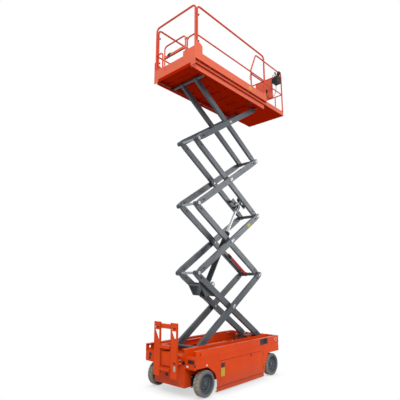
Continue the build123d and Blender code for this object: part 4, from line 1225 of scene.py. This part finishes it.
# Control box: pressed steel case painted black, with a joystick in a rubber boot, a red stop
# button, a row of toggle switches between two hoop guards, and two small brackets on its case.
paint(black_coat, "control_box")
box_x, box_y = 1.500, -0.420
box_top = ext_top - 0.080
slope = atan2(0.090, 0.120)
panel = Matrix.Rotation(-slope, 3, "Y")
panel_up = panel @ Vector((0, 0, 1))
panel_mid = Vector((box_x - 0.035, box_y, box_top - 0.045))
toggle = [
    (0.0075, 0.0), (0.0075, 0.006), (0.0030, 0.007), (0.0024, 0.022), (0.0034, 0.024), (0.0, 0.025),
]  # fmt: skip
desk = bmesh.new()
block(desk, panel_mid + panel_up * 0.002, (0.118, 0.120, 0.004), panel, 0.0015)
for j in range(4):
    spot = panel_mid + panel @ Vector((-0.040, -0.042 + 0.028 * j, 0.004))
    turned(desk, toggle, spot, panel_up, 14)
finish_piece("control_panel", desk, "extension", black_nylon)
boot_and_grip = [
    (0.026, 0.0), (0.026, 0.004), (0.021, 0.008), (0.022, 0.012), (0.016, 0.016), (0.017, 0.020),
    (0.010, 0.026), (0.010, 0.060), (0.017, 0.066), (0.019, 0.090), (0.017, 0.108), (0.010, 0.116),
    (0.0, 0.118),
]  # fmt: skip
stick = bmesh.new()
spot = panel_mid + panel @ Vector((0.015, -0.025, 0.004))
turned(stick, boot_and_grip, spot, panel_up, 24)
trigger = spot + panel_up * 0.092 - Vector((0.018, 0, 0))
block(stick, trigger, (0.006, 0.012, 0.030), panel)
finish_piece("joystick", stick, "extension", rubber_black)
stop = [(0.008, 0.0), (0.008, 0.008), (0.018, 0.010), (0.019, 0.015), (0.015, 0.020), (0.0, 0.022)]
button = bmesh.new()
turned(button, stop, panel_mid + panel @ Vector((0.015, 0.035, 0.004)), panel_up, 24)
finish_piece("platform_stop_button", button, "extension", red_plastic)
fittings = bmesh.new()
block(fittings, (box_x - 0.096, box_y, box_top - 0.140), (0.004, 0.060, 0.040))
block(fittings, (box_x + 0.060, box_y, box_top + 0.006), (0.050, 0.070, 0.012), edge=0.004)
hoop = [(0.075 - 0.150 * k / 16, -0.020 + 0.075 * sin(pi * k / 16)) for k in range(17)]
for y in (box_y - 0.058, box_y + 0.058):
    pipe(fittings, [(box_x + x, y, box_top + z) for x, z in hoop], 0.006, 10)
finish_piece("box_guards", fittings, "extension", black_coat)


# Control cable: black neoprene over stranded copper, 13 mm thick. It leaves the gland below the
# box, hangs in a slack bend past the mid rail and ends in a socket on the back of the front panel.
cable_route = [
    (0.040, 0.030, -0.190), (0.040, 0.031, -0.262), (0.043, 0.040, -0.334), (0.050, 0.066, -0.398),
    (0.060, 0.110, -0.446), (0.069, 0.168, -0.468), (0.076, 0.230, -0.462), (0.080, 0.286, -0.428),
    (0.081, 0.322, -0.374), (0.082, 0.338, -0.310), (0.084, 0.342, -0.245),
]  # fmt: skip
curve = bpy.data.curves.new("control_cable_line", "CURVE")
curve.dimensions = "3D"
curve.bevel_depth = 0.0065
curve.bevel_resolution = 4
curve.resolution_u = 12
line = curve.splines.new("NURBS")
line.points.add(len(cable_route) - 1)
for point, (x, y, z) in zip(line.points, cable_route):
    point.co = (box_x + x, box_y + y, box_top + z, 1.0)
line.order_u = 3
line.use_endpoint_u = True
curve.materials.append(rubber_black)
cable = bpy.data.objects.new("control_cable_run", curve)
bpy.context.scene.collection.objects.link(cable)
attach(cable, "extension")
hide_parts("control_cable")
cable_start = [box_x + 0.040, box_y + 0.030, box_top - 0.190]
gland = [
    (0.013, 0.0), (0.013, 0.008), (0.011, 0.010), (0.011, 0.020), (0.0085, 0.026), (0.0066, 0.027),
]  # fmt: skip
ends = bmesh.new()
turned(ends, gland, cable_start, (0, 0, -1), 16)
block(ends, (box_x + 0.098, box_y + 0.342, box_top - 0.222), (0.040, 0.046, 0.056), edge=0.004)
finish_piece("cable_fittings", ends, "extension", black_nylon)


# Studio: a pale seamless floor, one broad key light from the camera's side and a fill. The floor
# shows white to the camera, greyed by a painted contact shadow under the machine.
floor_mesh = bpy.data.meshes.new("floor")
floor_mesh.from_pydata([(-60, -60, 0), (60, -60, 0), (60, 60, 0), (-60, 60, 0)], [], [(0, 1, 2, 3)])
floor = bpy.data.objects.new("floor", floor_mesh)
bpy.context.scene.collection.objects.link(floor)
floor_paint, tree, shader = new_material("pale_floor")
wire(shader, Base_Color=linear("#DADADA"), Roughness=0.9)


def straight_view(tree):
    """One where the camera or a reflection looks, nought for the light that bounces."""
    rays = tree.nodes.new("ShaderNodeLightPath").outputs
    seen = rays["Is Camera Ray"]
    for kind in ("Is Glossy Ray", "Is Transmission Ray"):
        seen = add(tree, "Math", seen, rays[kind], operation="MAXIMUM")
    return seen


# Painted contact shadow: ambient occlusion dims the floor's white glow near the machine.
painted_contact_shadow = add(tree, "AmbientOcclusion", samples=8, Distance=0.30, out="AO")
strength = add(tree, "MapRange", painted_contact_shadow, 0.0, 0.9, 0.50, 1.0)
white = add(tree, "Emission", (1, 1, 1, 1), strength)
shown = add(tree, "MixShader", straight_view(tree), shader.outputs[0], white)
tree.links.new(shown, tree.nodes["Material Output"].inputs[0])
floor_mesh.materials.append(floor_paint)

world = bpy.data.worlds.new("studio")
bpy.context.scene.world = world
world.use_nodes = True
tree = world.node_tree
tree.nodes.clear()
glow = add(tree, "MapRange", straight_view(tree), 0.0, 1.0, 0.55, 1.0)
add(tree, "OutputWorld", add(tree, "Background", (1, 1, 1, 1), glow))

for name, place, power in (
    ("key_light", (-8.5, -8.0, 10.0), 1250.0),
    ("fill_light", (9.0, -6.0, 5.0), 300.0),
):
    lamp = bpy.data.lights.new(name, "AREA")
    lamp.energy = power
    lamp.size = 6.0
    lamp = bpy.data.objects.new(name, lamp)
    lamp.location = place
    aim = Vector((0, 0, 3.0)) - lamp.location
    lamp.rotation_euler = aim.to_track_quat("-Z", "Y").to_euler()
    bpy.context.scene.collection.objects.link(lamp)

# Camera: a 33.7 mm lens on a 36 mm sensor, 7.4 m from the middle of the machine and 1.7 m above the
# floor, tilted up.
lens = bpy.data.cameras.new("camera")
lens.lens = 33.69
lens.sensor_width = 36.0
camera = bpy.data.objects.new("camera", lens)
bpy.context.scene.collection.objects.link(camera)
camera.location = (-5.8075, -4.6087, 1.7336)
yaw = radians(47.6085)
pitch = radians(11.9757)
look = Vector((sin(yaw) * cos(pitch), cos(yaw) * cos(pitch), sin(pitch)))
camera.rotation_euler = look.to_track_quat("-Z", "Y").to_euler()
bpy.context.scene.camera = camera
bpy.context.scene.view_settings.view_transform = "Standard"
